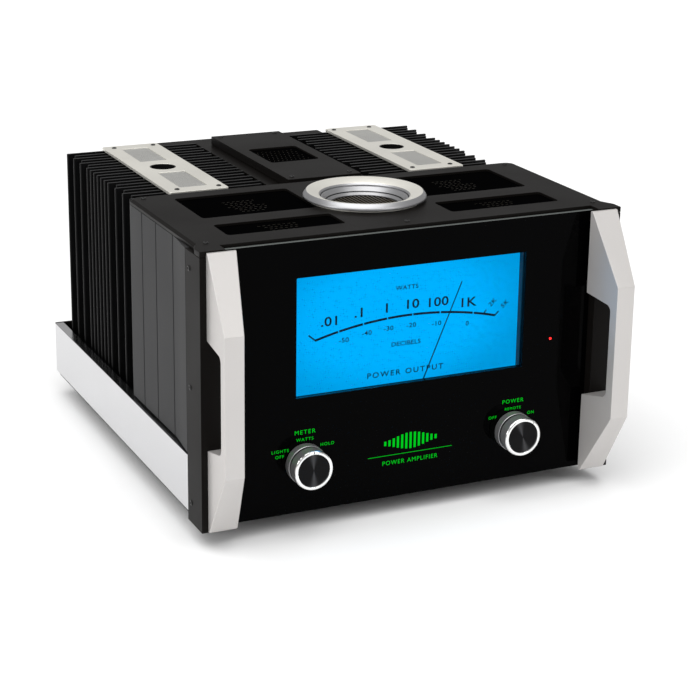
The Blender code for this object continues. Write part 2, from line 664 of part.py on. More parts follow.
def input_toggle():
    """Two-way toggle switch: a threaded bushing and its lever, tipped upwards."""
    face = REAR_FACE + GAP
    centre = (TOGGLE_X, 0.0, SOCKET_H)
    profile = [(0.0, 462.0), (6.0, 462.0), (6.0, face), (8.0, face), (8.0, face + 2.5), (6.4, face + 2.5),
               (6.4, face + 8.0), (5.0, face + 8.0), (5.0, 472.0), (0.0, 472.0)]
    turned("toggle_bushing", profile, centre, "polished_steel", "d", 16)
    pivot_d = face + 2.0
    pivot = (TOGGLE_X, pivot_d, SOCKET_H)
    bm = bmesh.new()
    add_turned(bm, [(0.0, pivot_d - 4.4), (3.2, pivot_d - 3.0), (4.4, pivot_d), (3.2, pivot_d + 3.0),
                    (1.4, pivot_d + 4.4), (2.4, pivot_d + 20.0), (0.0, pivot_d + 20.0)], centre, "d", 12)
    tilt = Matrix.Rotation(math.radians(11.0), 4, "X")
    bmesh.ops.transform(bm, matrix=tilt, verts=bm.verts, space=Matrix.Translation(-Vector(pivot)))
    mesh_object("toggle_lever", bm, "polished_steel", pivot, smooth=True)


def speaker_terminals():
    """Moulded block with four gold posts, and the thumb nuts that turn on them."""
    face = REAR_FACE + GAP
    hs = (POST_H - 20.0, POST_H + 20.0)
    block = box("terminal_block", (-92.0, 92.0), (face, face + 9.0), hs, "black_plastic")
    tip = DEPTH - HANDLE_REACH
    post = [(0.0, face + 5.0), (9.0, face + 5.0), (9.0, face + 12.0), (4.6, face + 12.0), (4.6, tip - 6.0),
            (7.6, tip - 6.0), (7.6, tip - 1.0), (6.6, tip), (0.0, tip)]
    nut = [(4.9, face + 14.0), (11.0, face + 14.0), (12.0, face + 15.0), (12.0, face + 31.0),
           (10.4, face + 34.0), (4.9, face + 34.0)]
    bm = bmesh.new()
    for x in POST_XS:
        add_turned(bm, post, (x, 0.0, POST_H), "d", 12)
    combine(block, bm, "UNION")
    for i, x in enumerate(POST_XS, start=1):
        turned(f"terminal_nut_{i}", nut, (x, 0.0, POST_H), "gold_plate", "d", 16, pivot=(x, 0.0, POST_H))


def main():
    for old in list(bpy.data.objects):
        bpy.data.objects.remove(old, do_unlink=True)
    for build in (base_chassis, bottom_plate, feet, rear_panel, end_plates, handles, front_glass,
                  front_subpanel, top_plate, top_glass, trim_ring, ring_grille, side_panels,
                  housing_rear_wall, heatsinks, duct_covers, transistor_banks, centre_deck, centre_cover,
                  meter_box, dial_plate, meter_movement, needle, status_led, knobs_and_switches,
                  control_board, power_transformer, output_autoformer, filter_capacitors, circuit_boards,
                  mains_inlet, input_sockets, input_toggle, speaker_terminals):
        build()


main()
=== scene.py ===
"""Looks of a mono power amplifier, built around its packed frame.

Laid out as a Blender add-on and run as a script.  The property groups hold the sizes and colours
that a user would change, each operator makes one piece or one group of like pieces, and main()
calls the operators in order.  Places are (x, d, h) in millimetres: x across, d behind the end
plates' front face, h above their lower edge.
"""
import math

import bmesh
import bpy
from bpy.props import FloatProperty, FloatVectorProperty, IntProperty, PointerProperty
from mathutils import Matrix, Vector


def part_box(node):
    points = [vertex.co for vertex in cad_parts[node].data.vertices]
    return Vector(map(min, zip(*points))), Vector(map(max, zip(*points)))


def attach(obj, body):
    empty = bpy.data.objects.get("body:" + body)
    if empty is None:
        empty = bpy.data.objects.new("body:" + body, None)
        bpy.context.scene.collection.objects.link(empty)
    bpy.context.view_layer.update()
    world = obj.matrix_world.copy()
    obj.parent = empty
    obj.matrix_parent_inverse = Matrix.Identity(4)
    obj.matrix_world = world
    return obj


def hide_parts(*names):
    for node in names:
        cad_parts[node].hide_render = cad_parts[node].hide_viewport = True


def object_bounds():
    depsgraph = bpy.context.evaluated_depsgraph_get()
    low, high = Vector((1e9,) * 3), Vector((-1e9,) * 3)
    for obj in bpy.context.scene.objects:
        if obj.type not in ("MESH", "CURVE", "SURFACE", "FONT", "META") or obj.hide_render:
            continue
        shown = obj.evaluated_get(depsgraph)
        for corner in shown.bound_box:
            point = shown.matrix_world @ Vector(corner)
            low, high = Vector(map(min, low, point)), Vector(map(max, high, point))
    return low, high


bl_info = {
    "name": "Power Amplifier",
    "version": (1, 0, 0),
    "blender": (4, 5, 0),
    "location": "3D View > Sidebar > Amplifier",
    "description": "Builds a mono power amplifier with its meter, handles, heat sinks and connectors",
    "category": "Add Mesh",
}

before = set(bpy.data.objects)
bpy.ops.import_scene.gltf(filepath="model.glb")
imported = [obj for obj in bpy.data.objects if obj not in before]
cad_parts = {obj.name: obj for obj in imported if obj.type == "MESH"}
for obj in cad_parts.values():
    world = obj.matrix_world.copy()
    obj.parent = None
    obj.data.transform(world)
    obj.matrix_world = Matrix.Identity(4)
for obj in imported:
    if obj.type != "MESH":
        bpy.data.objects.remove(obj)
CAD_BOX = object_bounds()

MM = 0.001
FRONT_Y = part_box("end_plate_right")[0].y
BASE_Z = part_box("end_plate_right")[0].z
FINE_GAP = 0.05          # between a print and what it lies on, millimetres


# ---- places and spans -------------------------------------------------------------------------
def place(x, d, h):
    """A point of the frame, in metres."""
    return Vector((x * MM, FRONT_Y + d * MM, BASE_Z + h * MM))


def span(node):
    """The lowest and highest (x, d, h) of a frame node, in millimetres."""
    origin = Vector((0.0, FRONT_Y, BASE_Z))
    low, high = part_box(node)
    return (low - origin) / MM, (high - origin) / MM


def middle(node):
    """The middle of a frame node's box, in millimetres."""
    low, high = span(node)
    return (low + high) / 2.0


# ---- settings ---------------------------------------------------------------------------------
def length(name, description, default):
    """A length property."""
    return FloatProperty(name=name, description=description, default=default, min=0.0, unit="LENGTH")


def colour(name, description, default):
    """A colour property."""
    return FloatVectorProperty(name=name, description=description, default=default, subtype="COLOR",
                               min=0.0, max=1.0, size=3)


def share(name, description, default, top=1.0):
    """A plain number from nothing up to top."""
    return FloatProperty(name=name, description=description, default=default, min=0.0, max=top)


class CasingSettings(bpy.types.PropertyGroup):
    """Plates, panels and handles."""
    paint: colour("Paint", "Satin paint on the top plate, panels and end plates", (0.006, 0.0052, 0.0047))
    silver: colour("Silver", "Blasted aluminium of the ring and duct covers", (0.86, 0.84, 0.775))
    # The handles get their own copy of the ring's blasted aluminium, made darker: painted shade that offsets
    # the stronger light the handles catch.
    handle: colour("Handle", "Blasted aluminium of the handles", (0.575, 0.555, 0.54))
    steel: colour("Steel", "Polished chassis", (0.62, 0.62, 0.63))
    edge: length("Edge", "Rounding along the edges of plates", 0.0005)
    handle_edge: length("Handle edge", "Rounding along the facets of the handles", 0.0006)
    corner: length("Corner", "Radius of the top plate's rear corners", 0.009)


class FrontSettings(bpy.types.PropertyGroup):
    """Glass, legends and knobs."""
    legend: colour("Legend", "Lit lettering on the glass", (0.0, 0.60, 0.014))
    lamp: colour("Lamp", "Lit standby lamp", (1.0, 0.02, 0.02))
    knob_face: length("Knob face", "Radius of the knob's spun face", 0.0162)
    title_height: length("Title height", "Capitals over each knob", 0.0041)
    word_height: length("Word height", "Capitals at the knob's positions", 0.0031)


class MeterSettings(bpy.types.PropertyGroup):
    """Lit scale of the output meter."""
    glow: colour("Glow", "Middle of the lit scale", (0.0, 0.43, 1.0))
    ink: colour("Ink", "Printing on the scale", (0.0, 0.008, 0.035))
    arc_radius: length("Arc radius", "Radius of the printed arc", 0.376)
    arc_width: length("Arc width", "Thickness of the printed arc", 0.0023)
    numeral_height: length("Numeral height", "Capitals of the upper scale", 0.0094)
    small_height: length("Small height", "Capitals of the lower scale", 0.0047)


class CoolingSettings(bpy.types.PropertyGroup):
    """Heat sinks, duct covers and the ring."""
    fins: IntProperty(name="Fins", description="Fins on each face of a heat sink", default=19, min=2)
    fin: length("Fin", "Thickness of one fin", 0.003)
    mesh_pitch: length("Mesh pitch", "Distance between the wires of the cover's mesh", 0.0022)
    mesh_wire: length("Mesh wire", "Thickness of the mesh's wires", 0.0011)
    sides: IntProperty(name="Sides", description="Sides of large turned pieces", default=128, min=12)


class RearSettings(bpy.types.PropertyGroup):
    """Rear connectors."""
    gold: colour("Gold", "Gold plate on the terminals", (0.86, 0.60, 0.22))
    ribs: IntProperty(name="Ribs", description="Ribs round a terminal nut", default=24, min=6)


class StudioSettings(bpy.types.PropertyGroup):
    """Floor, lights and camera."""
    floor: colour("Floor", "Pale floor", (0.97, 0.97, 0.97))
    surround: share("Surround", "Brightness of the room", 0.45, 10.0)
    sun: FloatProperty(name="Sun", description="Strength of the overhead light", default=2.3, min=0.0)
    sun_width: FloatProperty(name="Sun width", description="Angle the overhead light fills", unit="ROTATION",
                             default=math.radians(70.0))
    softbox: FloatProperty(name="Softboxes", description="Watts of each softbox", default=10.0, min=0.0)
    focal: FloatProperty(name="Focal length", description="Camera lens in millimetres", default=99.8,
                         min=10.0)
    shift: FloatProperty(name="Shift", description="Vertical lens shift, as a share of the frame",
                         default=-0.064)
    view_from: FloatVectorProperty(name="View from", description="Place of the camera", size=3,
                                   default=(-0.7957, -1.7910, 0.7585), subtype="TRANSLATION")
    heading: FloatProperty(name="Heading", description="Turn of the camera to the right", unit="ROTATION",
                           default=math.radians(24.836))
    dip: FloatProperty(name="Dip", description="Tilt of the camera below the horizon", unit="ROTATION",
                       default=math.radians(17.158))
    roll: FloatProperty(name="Roll", description="Turn of the camera about its own axis", unit="ROTATION",
                        default=math.radians(0.779))


# ---- materials --------------------------------------------------------------------------------
def add_node(tree, kind, inputs=None, **settings):
    """A node with its settings and its unlinked inputs."""
    node = tree.nodes.new(kind)
    for key, value in settings.items():
        setattr(node, key, value)
    for key, value in (inputs or {}).items():
        if isinstance(value, bpy.types.NodeSocket):
            tree.links.new(value, node.inputs[key])
        else:
            node.inputs[key].default_value = value
    return node


def principled(name, base, roughness, metallic=0.0, **sockets):
    """A named material with its shader's plain sockets set."""
    made = bpy.data.materials.new(name)
    made.use_nodes = True
    shader = made.node_tree.nodes["Principled BSDF"]
    shader.inputs["Base Color"].default_value = (*base, 1.0)
    shader.inputs["Roughness"].default_value = roughness
    shader.inputs["Metallic"].default_value = metallic
    for key, value in sockets.items():
        shader.inputs[key.replace("_", " ")].default_value = value
    made.diffuse_color = (*base, 1.0)
    return made, made.node_tree, shader


def object_noise(tree, density, detail=3.0):
    """Noise on Object coordinates, with a density per metre along x, y and z."""
    coordinates = add_node(tree, "ShaderNodeTexCoord")
    stretch = add_node(tree, "ShaderNodeMapping", {"Vector": coordinates.outputs["Object"], "Scale": density})
    return add_node(tree, "ShaderNodeTexNoise", {"Vector": stretch.outputs["Vector"], "Scale": 1.0,
                                                 "Detail": detail})


def grained(name, base, roughness, metallic=0.0, grain=(1500.0, 1500.0, 1500.0), depth=0.00003, mottle=0.06,
            spread=0.05, **sockets):
    """A finish with fine grain, faint patches of tone, and roughness that varies with both."""
    if name in bpy.data.materials:
        return bpy.data.materials[name]
    made, tree, shader = principled(name, base, roughness, metallic, **sockets)
    fine = object_noise(tree, grain)
    patches = object_noise(tree, (14.0, 14.0, 14.0))
    tone = add_node(tree, "ShaderNodeMath", {0: fine.outputs["Fac"], 1: patches.outputs["Fac"]},
                    operation="ADD")
    level = add_node(tree, "ShaderNodeMapRange", {"Value": tone.outputs[0], "From Min": 0.6, "From Max": 1.4,
                                                  "To Min": 1.0 - mottle, "To Max": 1.0 + mottle})
    tint = add_node(tree, "ShaderNodeVectorMath", {0: base, "Scale": level.outputs["Result"]},
                    operation="SCALE")
    tree.links.new(tint.outputs["Vector"], shader.inputs["Base Color"])
    rough = add_node(tree, "ShaderNodeMapRange", {"Value": tone.outputs[0], "From Min": 0.6, "From Max": 1.4,
                                                  "To Min": max(roughness - spread, 0.02),
                                                  "To Max": roughness + spread})
    tree.links.new(rough.outputs["Result"], shader.inputs["Roughness"])
    if depth:
        bump = add_node(tree, "ShaderNodeBump", {"Strength": 0.6, "Distance": depth,
                                                 "Height": fine.outputs["Fac"]})
        tree.links.new(bump.outputs["Normal"], shader.inputs["Normal"])
    return made


def banded(name, dark, light, pitch, direction, roughness, metallic=0.0, depth=0.0003, **sockets):
    """Parallel bands a pitch apart along a direction, as on windings and stacked sheets."""
    if name in bpy.data.materials:
        return bpy.data.materials[name]
    made, tree, shader = principled(name, light, roughness, metallic, **sockets)
    coordinates = add_node(tree, "ShaderNodeTexCoord")
    bands = add_node(tree, "ShaderNodeTexWave", {"Vector": coordinates.outputs["Object"],
                                                 "Scale": math.pi / (10.0 * pitch), "Distortion": 0.3,
                                                 "Detail": 2.0}, wave_type="BANDS", bands_direction=direction)
    mix = add_node(tree, "ShaderNodeMix",
                   {"Factor": bands.outputs["Fac"], "A": (*dark, 1.0), "B": (*light, 1.0)},
                   data_type="RGBA")
    tree.links.new(mix.outputs["Result"], shader.inputs["Base Color"])
    bump = add_node(tree, "ShaderNodeBump",
                    {"Strength": 0.7, "Distance": depth, "Height": bands.outputs["Fac"]})
    tree.links.new(bump.outputs["Normal"], shader.inputs["Normal"])
    return made


def lit(name, tone, strength, fade=None):
    """A glowing finish; fade is (middle, reach) over which the glow falls off, in metres."""
    if name in bpy.data.materials:
        return bpy.data.materials[name]
    made, tree, shader = principled(name, tuple(0.01 * c for c in tone), 0.5, Specular_IOR_Level=0.0,
                                    Emission_Strength=strength)
    shader.inputs["Emission Color"].default_value = (*tone, 1.0)
    grain = object_noise(tree, (900.0, 900.0, 900.0), 2.0)
    low, high = 0.97, 1.03
    if fade:
        centre, reach = fade
        coordinates = add_node(tree, "ShaderNodeTexCoord")
        away = add_node(tree, "ShaderNodeVectorMath", {0: coordinates.outputs["Object"], 1: centre},
                        operation="SUBTRACT")
        scaled = add_node(tree, "ShaderNodeVectorMath", {0: away.outputs["Vector"], 1: reach},
                          operation="DIVIDE")
        far = add_node(tree, "ShaderNodeVectorMath", {0: scaled.outputs["Vector"]}, operation="LENGTH")
        falloff = add_node(tree, "ShaderNodeMapRange", {"Value": far.outputs["Value"], "From Min": 0.45,
                                                        "From Max": 1.25, "To Min": 1.0, "To Max": 0.72},
                           interpolation_type="SMOOTHERSTEP")
        source = falloff.outputs["Result"]
    else:
        steady = add_node(tree, "ShaderNodeMapRange", {"Value": grain.outputs["Fac"], "To Min": low,
                                                       "To Max": high})
        source = steady.outputs["Result"]
    glow = add_node(tree, "ShaderNodeVectorMath", {0: tone, "Scale": source}, operation="SCALE")
    tree.links.new(glow.outputs["Vector"], shader.inputs["Emission Color"])
    return made


def satin_paint():
    return grained("satin_black_paint", tuple(bpy.context.scene.amplifier_casing.paint), 0.42, depth=0.00002,
                   grain=(2600.0, 2600.0, 2600.0), Specular_IOR_Level=0.05)


def side_paint():
    return grained("textured_side_paint", (0.030, 0.030, 0.031), 0.55, depth=0.00004,
                   grain=(1700.0, 1700.0, 1700.0), mottle=0.12, Specular_IOR_Level=0.12)


def blasted_silver():
    return grained("blasted_aluminium", tuple(bpy.context.scene.amplifier_casing.silver), 0.46, 0.75,
                   depth=0.00003, grain=(2200.0, 2200.0, 2200.0), mottle=0.04)


# Darker copy of the blasted aluminium for the handles: painted shade that offsets the stronger light they
# catch.
def handle_silver_shaded():
    return grained("handle_aluminium", tuple(bpy.context.scene.amplifier_casing.handle), 0.46, 0.6,
                   depth=0.00003, grain=(2200.0, 2200.0, 2200.0), mottle=0.04)


def bright_silver():
    return grained("bright_aluminium", (0.90, 0.90, 0.89), 0.16, 1.0, depth=0.000004, mottle=0.02,
                   spread=0.03)


def satin_silver():
    return grained("satin_turned_aluminium", (0.44, 0.44, 0.45), 0.38, 1.0, depth=0.000006,
                   mottle=0.03, spread=0.04)


def polished_steel():
    return grained("polished_chassis", tuple(bpy.context.scene.amplifier_casing.steel), 0.20, 1.0,
                   grain=(3000.0, 40.0, 3000.0), depth=0.000004, mottle=0.03, spread=0.04)


def dark_chrome():
    return grained("dark_chrome", (0.46, 0.46, 0.47), 0.38, 0.8, depth=0.000003, mottle=0.05, spread=0.03)


def anodised_black():
    return grained("anodised_extrusion", (0.0035, 0.0035, 0.0037), 0.36, grain=(2400.0, 2400.0, 30.0),
                   depth=0.00002, mottle=0.15, Specular_IOR_Level=0.12)


def black_glass():
    return grained("front_black_glass", (0.0006, 0.0006, 0.0007), 0.05, depth=0.0, mottle=0.1, spread=0.01,
                   Specular_IOR_Level=0.02)


def window_glass():
    return grained("window_glass", (0.0010, 0.0010, 0.0011), 0.03, depth=0.0, mottle=0.1, spread=0.01,
                   Specular_IOR_Level=0.0)


def ground_edge():
    return grained("ground_glass_edge", (0.10, 0.11, 0.105), 0.40, depth=0.00002)


def clear_glass():
    """Clear pane with a coating that keeps reflections faint."""
    return grained("clear_pane", (1.0, 1.0, 1.0), 0.02, depth=0.0, mottle=0.0, spread=0.0,
                   Transmission_Weight=1.0, IOR=1.03)


def black_plastic():
    return grained("moulded_black", (0.018, 0.018, 0.019), 0.48, depth=0.00003,
                   grain=(1800.0, 1800.0, 1800.0),
                   mottle=0.12)


# Black plastic of the meter well with a faint blue tint: painted blue light from the lit scale, which also
# lights the walls in the render.
def meter_wall():
    return grained("meter_wall", (0.02, 0.022, 0.03), 0.35, depth=0.00002)


def rubber():
    return grained("soft_rubber", (0.016, 0.016, 0.016), 0.78, depth=0.00006,
                   grain=(900.0, 900.0, 900.0), mottle=0.2)


def gold_plate():
    return grained("plated_gold", tuple(bpy.context.scene.amplifier_rear.gold), 0.16, 1.0, depth=0.000004,
                   mottle=0.05, spread=0.04)


def gold_ink():
    return grained("gold_ink", (0.022, 0.016, 0.006), 0.5, 0.2, depth=0.00001, mottle=0.25)


def scale_ink():
    return grained("scale_ink", tuple(bpy.context.scene.amplifier_meter.ink), 0.6, depth=0.00001, mottle=0.2,
                   Specular_IOR_Level=0.1)


def screw_black():
    return grained("blackened_steel", (0.014, 0.014, 0.014), 0.28, 0.6, depth=0.00001, mottle=0.2)


def mesh_silver():
    return grained("mesh_wire", (0.66, 0.655, 0.63), 0.42, 0.8, depth=0.00002, mottle=0.05)


def copper_winding():
    return banded("varnished_copper", (0.30, 0.13, 0.04), (0.75, 0.42, 0.17), 0.0016, "X", 0.3, 0.9)


def stacked_core():
    return banded("stacked_core", (0.012, 0.012, 0.013), (0.05, 0.05, 0.055), 0.0008, "Y", 0.4, 0.5)


def circuit_board():
    return banded("green_laminate", (0.012, 0.09, 0.035), (0.03, 0.2, 0.08), 0.004, "X", 0.45, depth=0.00005)


def capacitor_sleeve():
    return grained("shrink_sleeve", (0.035, 0.06, 0.16), 0.30, depth=0.00002, Coat_Weight=0.3)


def epoxy():
    return grained("moulded_epoxy", (0.022, 0.022, 0.022), 0.42, depth=0.00003, mottle=0.15)


def red_lens():
    return lit("lamp_light", tuple(bpy.context.scene.amplifier_front.lamp), 3.0)


def legend_light():
    return lit("legend_light", tuple(bpy.context.scene.amplifier_front.legend), 1.0)


def scale_light():
    """Glow of the scale, strongest in the middle of the window."""
    settings = bpy.context.scene.amplifier_meter
    centre = middle("dial_plate")
    reach = (span("dial_plate")[1] - span("dial_plate")[0]) / 2.0 * MM
    return lit("scale_light", tuple(settings.glow), 1.0,
               (tuple(place(centre.x - 15.0, centre.y, centre.z + 12.0)),
                                                         (reach.x * 1.15, 1.0, reach.z * 1.25)))


# Narrowness and strength of the sheen painted into the knob faces' base colour.
SHEEN_SHARPNESS, SHEEN_LIFT = 40.0, 4.0


def spun_metal(name, centre, lean):
    """Dark face turned on a lathe: fine rings, and a painted sheen each way along a lean from upright."""
    if name in bpy.data.materials:
        return bpy.data.materials[name]
    tone = (0.011, 0.011, 0.0115)
    made, tree, shader = principled(name, tone, 0.30, 1.0, Anisotropic=0.92)
    coordinates = add_node(tree, "ShaderNodeTexCoord")
    centred = add_node(tree, "ShaderNodeMapping", {"Vector": coordinates.outputs["Object"],
                                                   "Location": tuple(-c for c in centre)})
    rings = add_node(tree, "ShaderNodeTexWave", {"Vector": centred.outputs["Vector"], "Scale": 700.0,
                                                 "Distortion": 0.8, "Detail": 3.0},
                     wave_type="RINGS", rings_direction="Y")
    level = add_node(tree, "ShaderNodeMapRange",
                     {"Value": rings.outputs["Fac"], "To Min": 0.85, "To Max": 1.15})
    flat = add_node(tree, "ShaderNodeVectorMath", {0: centred.outputs["Vector"], 1: (1.0, 0.0, 1.0)},
                    operation="MULTIPLY")
    outward = add_node(tree, "ShaderNodeVectorMath", {0: flat.outputs["Vector"]}, operation="NORMALIZE")
    along = add_node(tree, "ShaderNodeVectorMath", {0: outward.outputs["Vector"],
                                                    1: (math.sin(lean), 0.0, math.cos(lean))},
                     operation="DOT_PRODUCT")
    either = add_node(tree, "ShaderNodeMath", {0: along.outputs["Value"]}, operation="ABSOLUTE")
    narrow = add_node(tree, "ShaderNodeMath", {0: either.outputs[0], 1: SHEEN_SHARPNESS}, operation="POWER")
    sheen = add_node(tree, "ShaderNodeMath",
                     {0: narrow.outputs[0], 1: SHEEN_LIFT, 2: level.outputs["Result"]},
                     operation="MULTIPLY_ADD")
    tint = add_node(tree, "ShaderNodeVectorMath", {0: tone, "Scale": sheen.outputs[0]},
                    operation="SCALE")
    tree.links.new(tint.outputs["Vector"], shader.inputs["Base Color"])
    radial = add_node(tree, "ShaderNodeTangent", direction_type="RADIAL", axis="Y")
    tree.links.new(radial.outputs["Tangent"], shader.inputs["Tangent"])
    return made


# ---- meshes -----------------------------------------------------------------------------------
def arc(centre, radius, start, end, steps):
    """Points along an arc, angles in degrees."""
    angles = [math.radians(start + (end - start) * i / steps) for i in range(steps + 1)]
    return [(centre[0] + radius * math.cos(a), centre[1] + radius * math.sin(a)) for a in angles]


def mirrored(outline):
    """The same outline on the other side."""
    return [(-x, other) for x, other in reversed(outline)]


def rounded_rectangle(xs, ys, radius, steps=8):
    """A rectangle with rounded corners."""
    corners = ((xs[1], ys[1], 0.0), (xs[0], ys[1], 90.0), (xs[0], ys[0], 180.0), (xs[1], ys[0], 270.0))
    points = []
    for x, y, start in corners:
        centre = (x - math.copysign(radius, x - sum(xs) / 2.0), y - math.copysign(radius, y - sum(ys) / 2.0))
        points += arc(centre, radius, start, start + 90.0, steps)
    return points


def upright(pair, level):
    """A plan outline's corner at a height."""
    return (pair[0], pair[1], level)


def lengthwise(pair, level):
    """A front-view outline's corner at a depth."""
    return (pair[0], level, pair[1])


def add_prism(bm, outline, low, high, corner=upright, index=0):
    """An outline swept from low to high."""
    lower = [bm.verts.new(corner(pair, low)) for pair in outline]
    upper = [bm.verts.new(corner(pair, high)) for pair in outline]
    faces = [bm.faces.new(lower), bm.faces.new(reversed(upper))]
    count = len(outline)
    for i in range(count):
        faces.append(bm.faces.new((lower[i], upper[i], upper[(i + 1) % count], lower[(i + 1) % count])))
    for face in faces:
        face.material_index = index


def add_box(bm, xs, ds, hs):
    """A box from its (low, high) along each direction."""
    add_prism(bm, [(xs[0], ds[0]), (xs[1], ds[0]), (xs[1], ds[1]), (xs[0], ds[1])], hs[0], hs[1])


def add_turned(bm, profile, centre, axis="h", sides=64):
    """A profile of (radius, along, material index) turned about an axis; radius 0 at both ends closes it."""
    def point(radius, along, angle):
        across, up = radius * math.cos(angle), radius * math.sin(angle)
        if axis == "h":
            return (centre[0] + across, centre[1] + up, along)
        return (centre[0] + across, along, centre[2] + up)

    profile = [entry if len(entry) == 3 else (*entry, 0) for entry in profile]
    turns = [2.0 * math.pi * i / sides for i in range(sides)]
    loops = []
    for radius, along, _ in profile:
        if radius == 0.0:
            loops.append([bm.verts.new(point(0.0, along, 0.0))] * sides)
        else:
            loops.append([bm.verts.new(point(radius, along, a)) for a in turns])
    pairs = list(zip(loops, loops[1:], profile))
    if profile[0][0] > 0.0:
        pairs.append((loops[-1], loops[0], profile[-1]))
    for one, two, entry in pairs:
        for i in range(sides):
            j = (i + 1) % sides
            corners = list(dict.fromkeys((one[i], one[j], two[j], two[i])))
            bm.faces.new(corners).material_index = entry[2]


def to_piece(name, bm, *materials, sharp=35.0):
    """An object at the origin from a mesh of (x, d, h) millimetres."""
    for vert in bm.verts:
        vert.co = place(*vert.co)
    bmesh.ops.recalc_face_normals(bm, faces=bm.faces)
    mesh = bpy.data.meshes.new(name)
    bm.to_mesh(mesh)
    bm.free()
    for made in materials:
        mesh.materials.append(made)
    mesh.shade_smooth()
    mesh.set_sharp_from_angle(angle=math.radians(sharp))
    piece = bpy.data.objects.new(name, mesh)
    bpy.context.scene.collection.objects.link(piece)
    return piece


def bake(piece):
    """The evaluated mesh takes the place of the mesh and its modifiers."""
    graph = bpy.context.evaluated_depsgraph_get()
    graph.update()
    made = bpy.data.meshes.new_from_object(piece.evaluated_get(graph), preserve_all_data_layers=True,
                                           depsgraph=graph)
    old = piece.data
    piece.modifiers.clear()
    piece.data = made
    bpy.data.meshes.remove(old)
    made.name = piece.name
    return piece


def soften(piece, width, segments=2, angle=40.0):
    """Rounds a piece's edges and keeps its flat faces flat."""
    bevel = piece.modifiers.new("Soft edges", "BEVEL")
    bevel.width = width
    bevel.segments = segments
    bevel.limit_method = "ANGLE"
    bevel.angle_limit = math.radians(angle)
    bevel.harden_normals = True
    return bake(piece)


def settle(piece, body, slot, *nodes):
    """Ties a finished piece to its body and hides the frame nodes that it stands for; the slot is not used.
    """
    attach(piece, body)
    if nodes:
        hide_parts(*nodes)
    return piece


def softened_copy(node, name, made, width, body, slot, segments=2):
    """A frame node's shape with rounded edges, standing for the node."""
    bm = bmesh.new()
    bm.from_mesh(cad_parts[node].data)
    bmesh.ops.remove_doubles(bm, verts=bm.verts, dist=0.00002)
    bmesh.ops.dissolve_limit(bm, angle_limit=math.radians(1.0), verts=bm.verts, edges=bm.edges)
    mesh = bpy.data.meshes.new(name)
    bm.to_mesh(mesh)
    bm.free()
    mesh.materials.append(made)
    mesh.shade_smooth()
    mesh.set_sharp_from_angle(angle=math.radians(35.0))
    piece = bpy.data.objects.new(name, mesh)
    bpy.context.scene.collection.objects.link(piece)
    soften(piece, width, segments)
    return settle(piece, body, slot, node)


def turned_piece(name, profile, centre, materials, body, slot, nodes=(), axis="h", sides=64, sharp=35.0):
    """A turned piece, settled."""
    bm = bmesh.new()
    add_turned(bm, profile, centre, axis, sides)
    return settle(to_piece(name, bm, *materials, sharp=sharp), body, slot, *nodes)


def lettering(bm, text, cap, centre, depth, stretch=1.0, spacing=1.1, turn=0.0, weight=0.0):
    """Adds flat raised letters facing the front, with capitals of a given height, centred on (x, h)."""
    curve = bpy.data.curves.new("letters", "FONT")
    curve.body = text
    curve.size = 10.0
    curve.space_character = spacing
    curve.offset = weight
    curve.resolution_u = 4
    holder = bpy.data.objects.new("letters", curve)
    bpy.context.scene.collection.objects.link(holder)
    graph = bpy.context.evaluated_depsgraph_get()
    graph.update()
    flat = bpy.data.meshes.new_from_object(holder.evaluated_get(graph), depsgraph=graph)
    xs = [v.co.x for v in flat.vertices]
    ys = [v.co.y for v in flat.vertices]
    size = cap / (max(ys) - min(ys))
    shift = Vector(((min(xs) + max(xs)) / 2.0, (min(ys) + max(ys)) / 2.0, 0.0))
    spin = Matrix.Rotation(turn, 3, "Z")
    letters = bmesh.new()
    letters.from_mesh(flat)
    bmesh.ops.remove_doubles(letters, verts=letters.verts, dist=0.0005)
    for vert in letters.verts:
        local = spin @ Vector(((vert.co.x - shift.x) * size * stretch, (vert.co.y - shift.y) * size, 0.0))
        vert.co = (centre[0] + local.x, depth, centre[1] + local.y)
    front = letters.faces[:]
    made = bmesh.ops.extrude_face_region(letters, geom=front)
    for item in made["geom"]:
        if isinstance(item, bmesh.types.BMVert):
            item.co.y -= FINE_GAP / 2.0
    scratch = bpy.data.meshes.new("letters")
    letters.to_mesh(scratch)
    letters.free()
    bm.from_mesh(scratch)
    bpy.data.objects.remove(holder)
    bpy.data.curves.remove(curve)
    bpy.data.meshes.remove(flat)
    bpy.data.meshes.remove(scratch)


# ---- Geometry Nodes ---------------------------------------------------------------------------
def new_tree(name, sockets):
    """A geometry tree with named inputs after its geometry input."""
    tree = bpy.data.node_groups.new(name, "GeometryNodeTree")
    tree.interface.new_socket("Geometry", in_out="INPUT", socket_type="NodeSocketGeometry")
    for label, kind in sockets:
        tree.interface.new_socket(label, in_out="INPUT", socket_type="NodeSocket" + kind)
    tree.interface.new_socket("Geometry", in_out="OUTPUT", socket_type="NodeSocketGeometry")
    return tree, tree.nodes.new("NodeGroupInput").outputs


def close_tree(tree, given, geometry):
    """Ends a tree in Realize Instances and Set Material."""
    real = add_node(tree, "GeometryNodeRealizeInstances", {"Geometry": geometry})
    coated = add_node(tree, "GeometryNodeSetMaterial", {"Geometry": real.outputs["Geometry"],
                                                        "Material": given["Material"]})
    add_node(tree, "NodeGroupOutput", {"Geometry": coated.outputs["Geometry"]})
    return tree


def maths(tree, operation, first, second=0.0):
    """The result of a Math node."""
    return add_node(tree, "ShaderNodeMath", {0: first, 1: second}, operation=operation).outputs[0]


def vector(tree, x=0.0, y=0.0, z=0.0):
    """A vector from three numbers or sockets."""
    return add_node(tree, "ShaderNodeCombineXYZ", {"X": x, "Y": y, "Z": z}).outputs["Vector"]


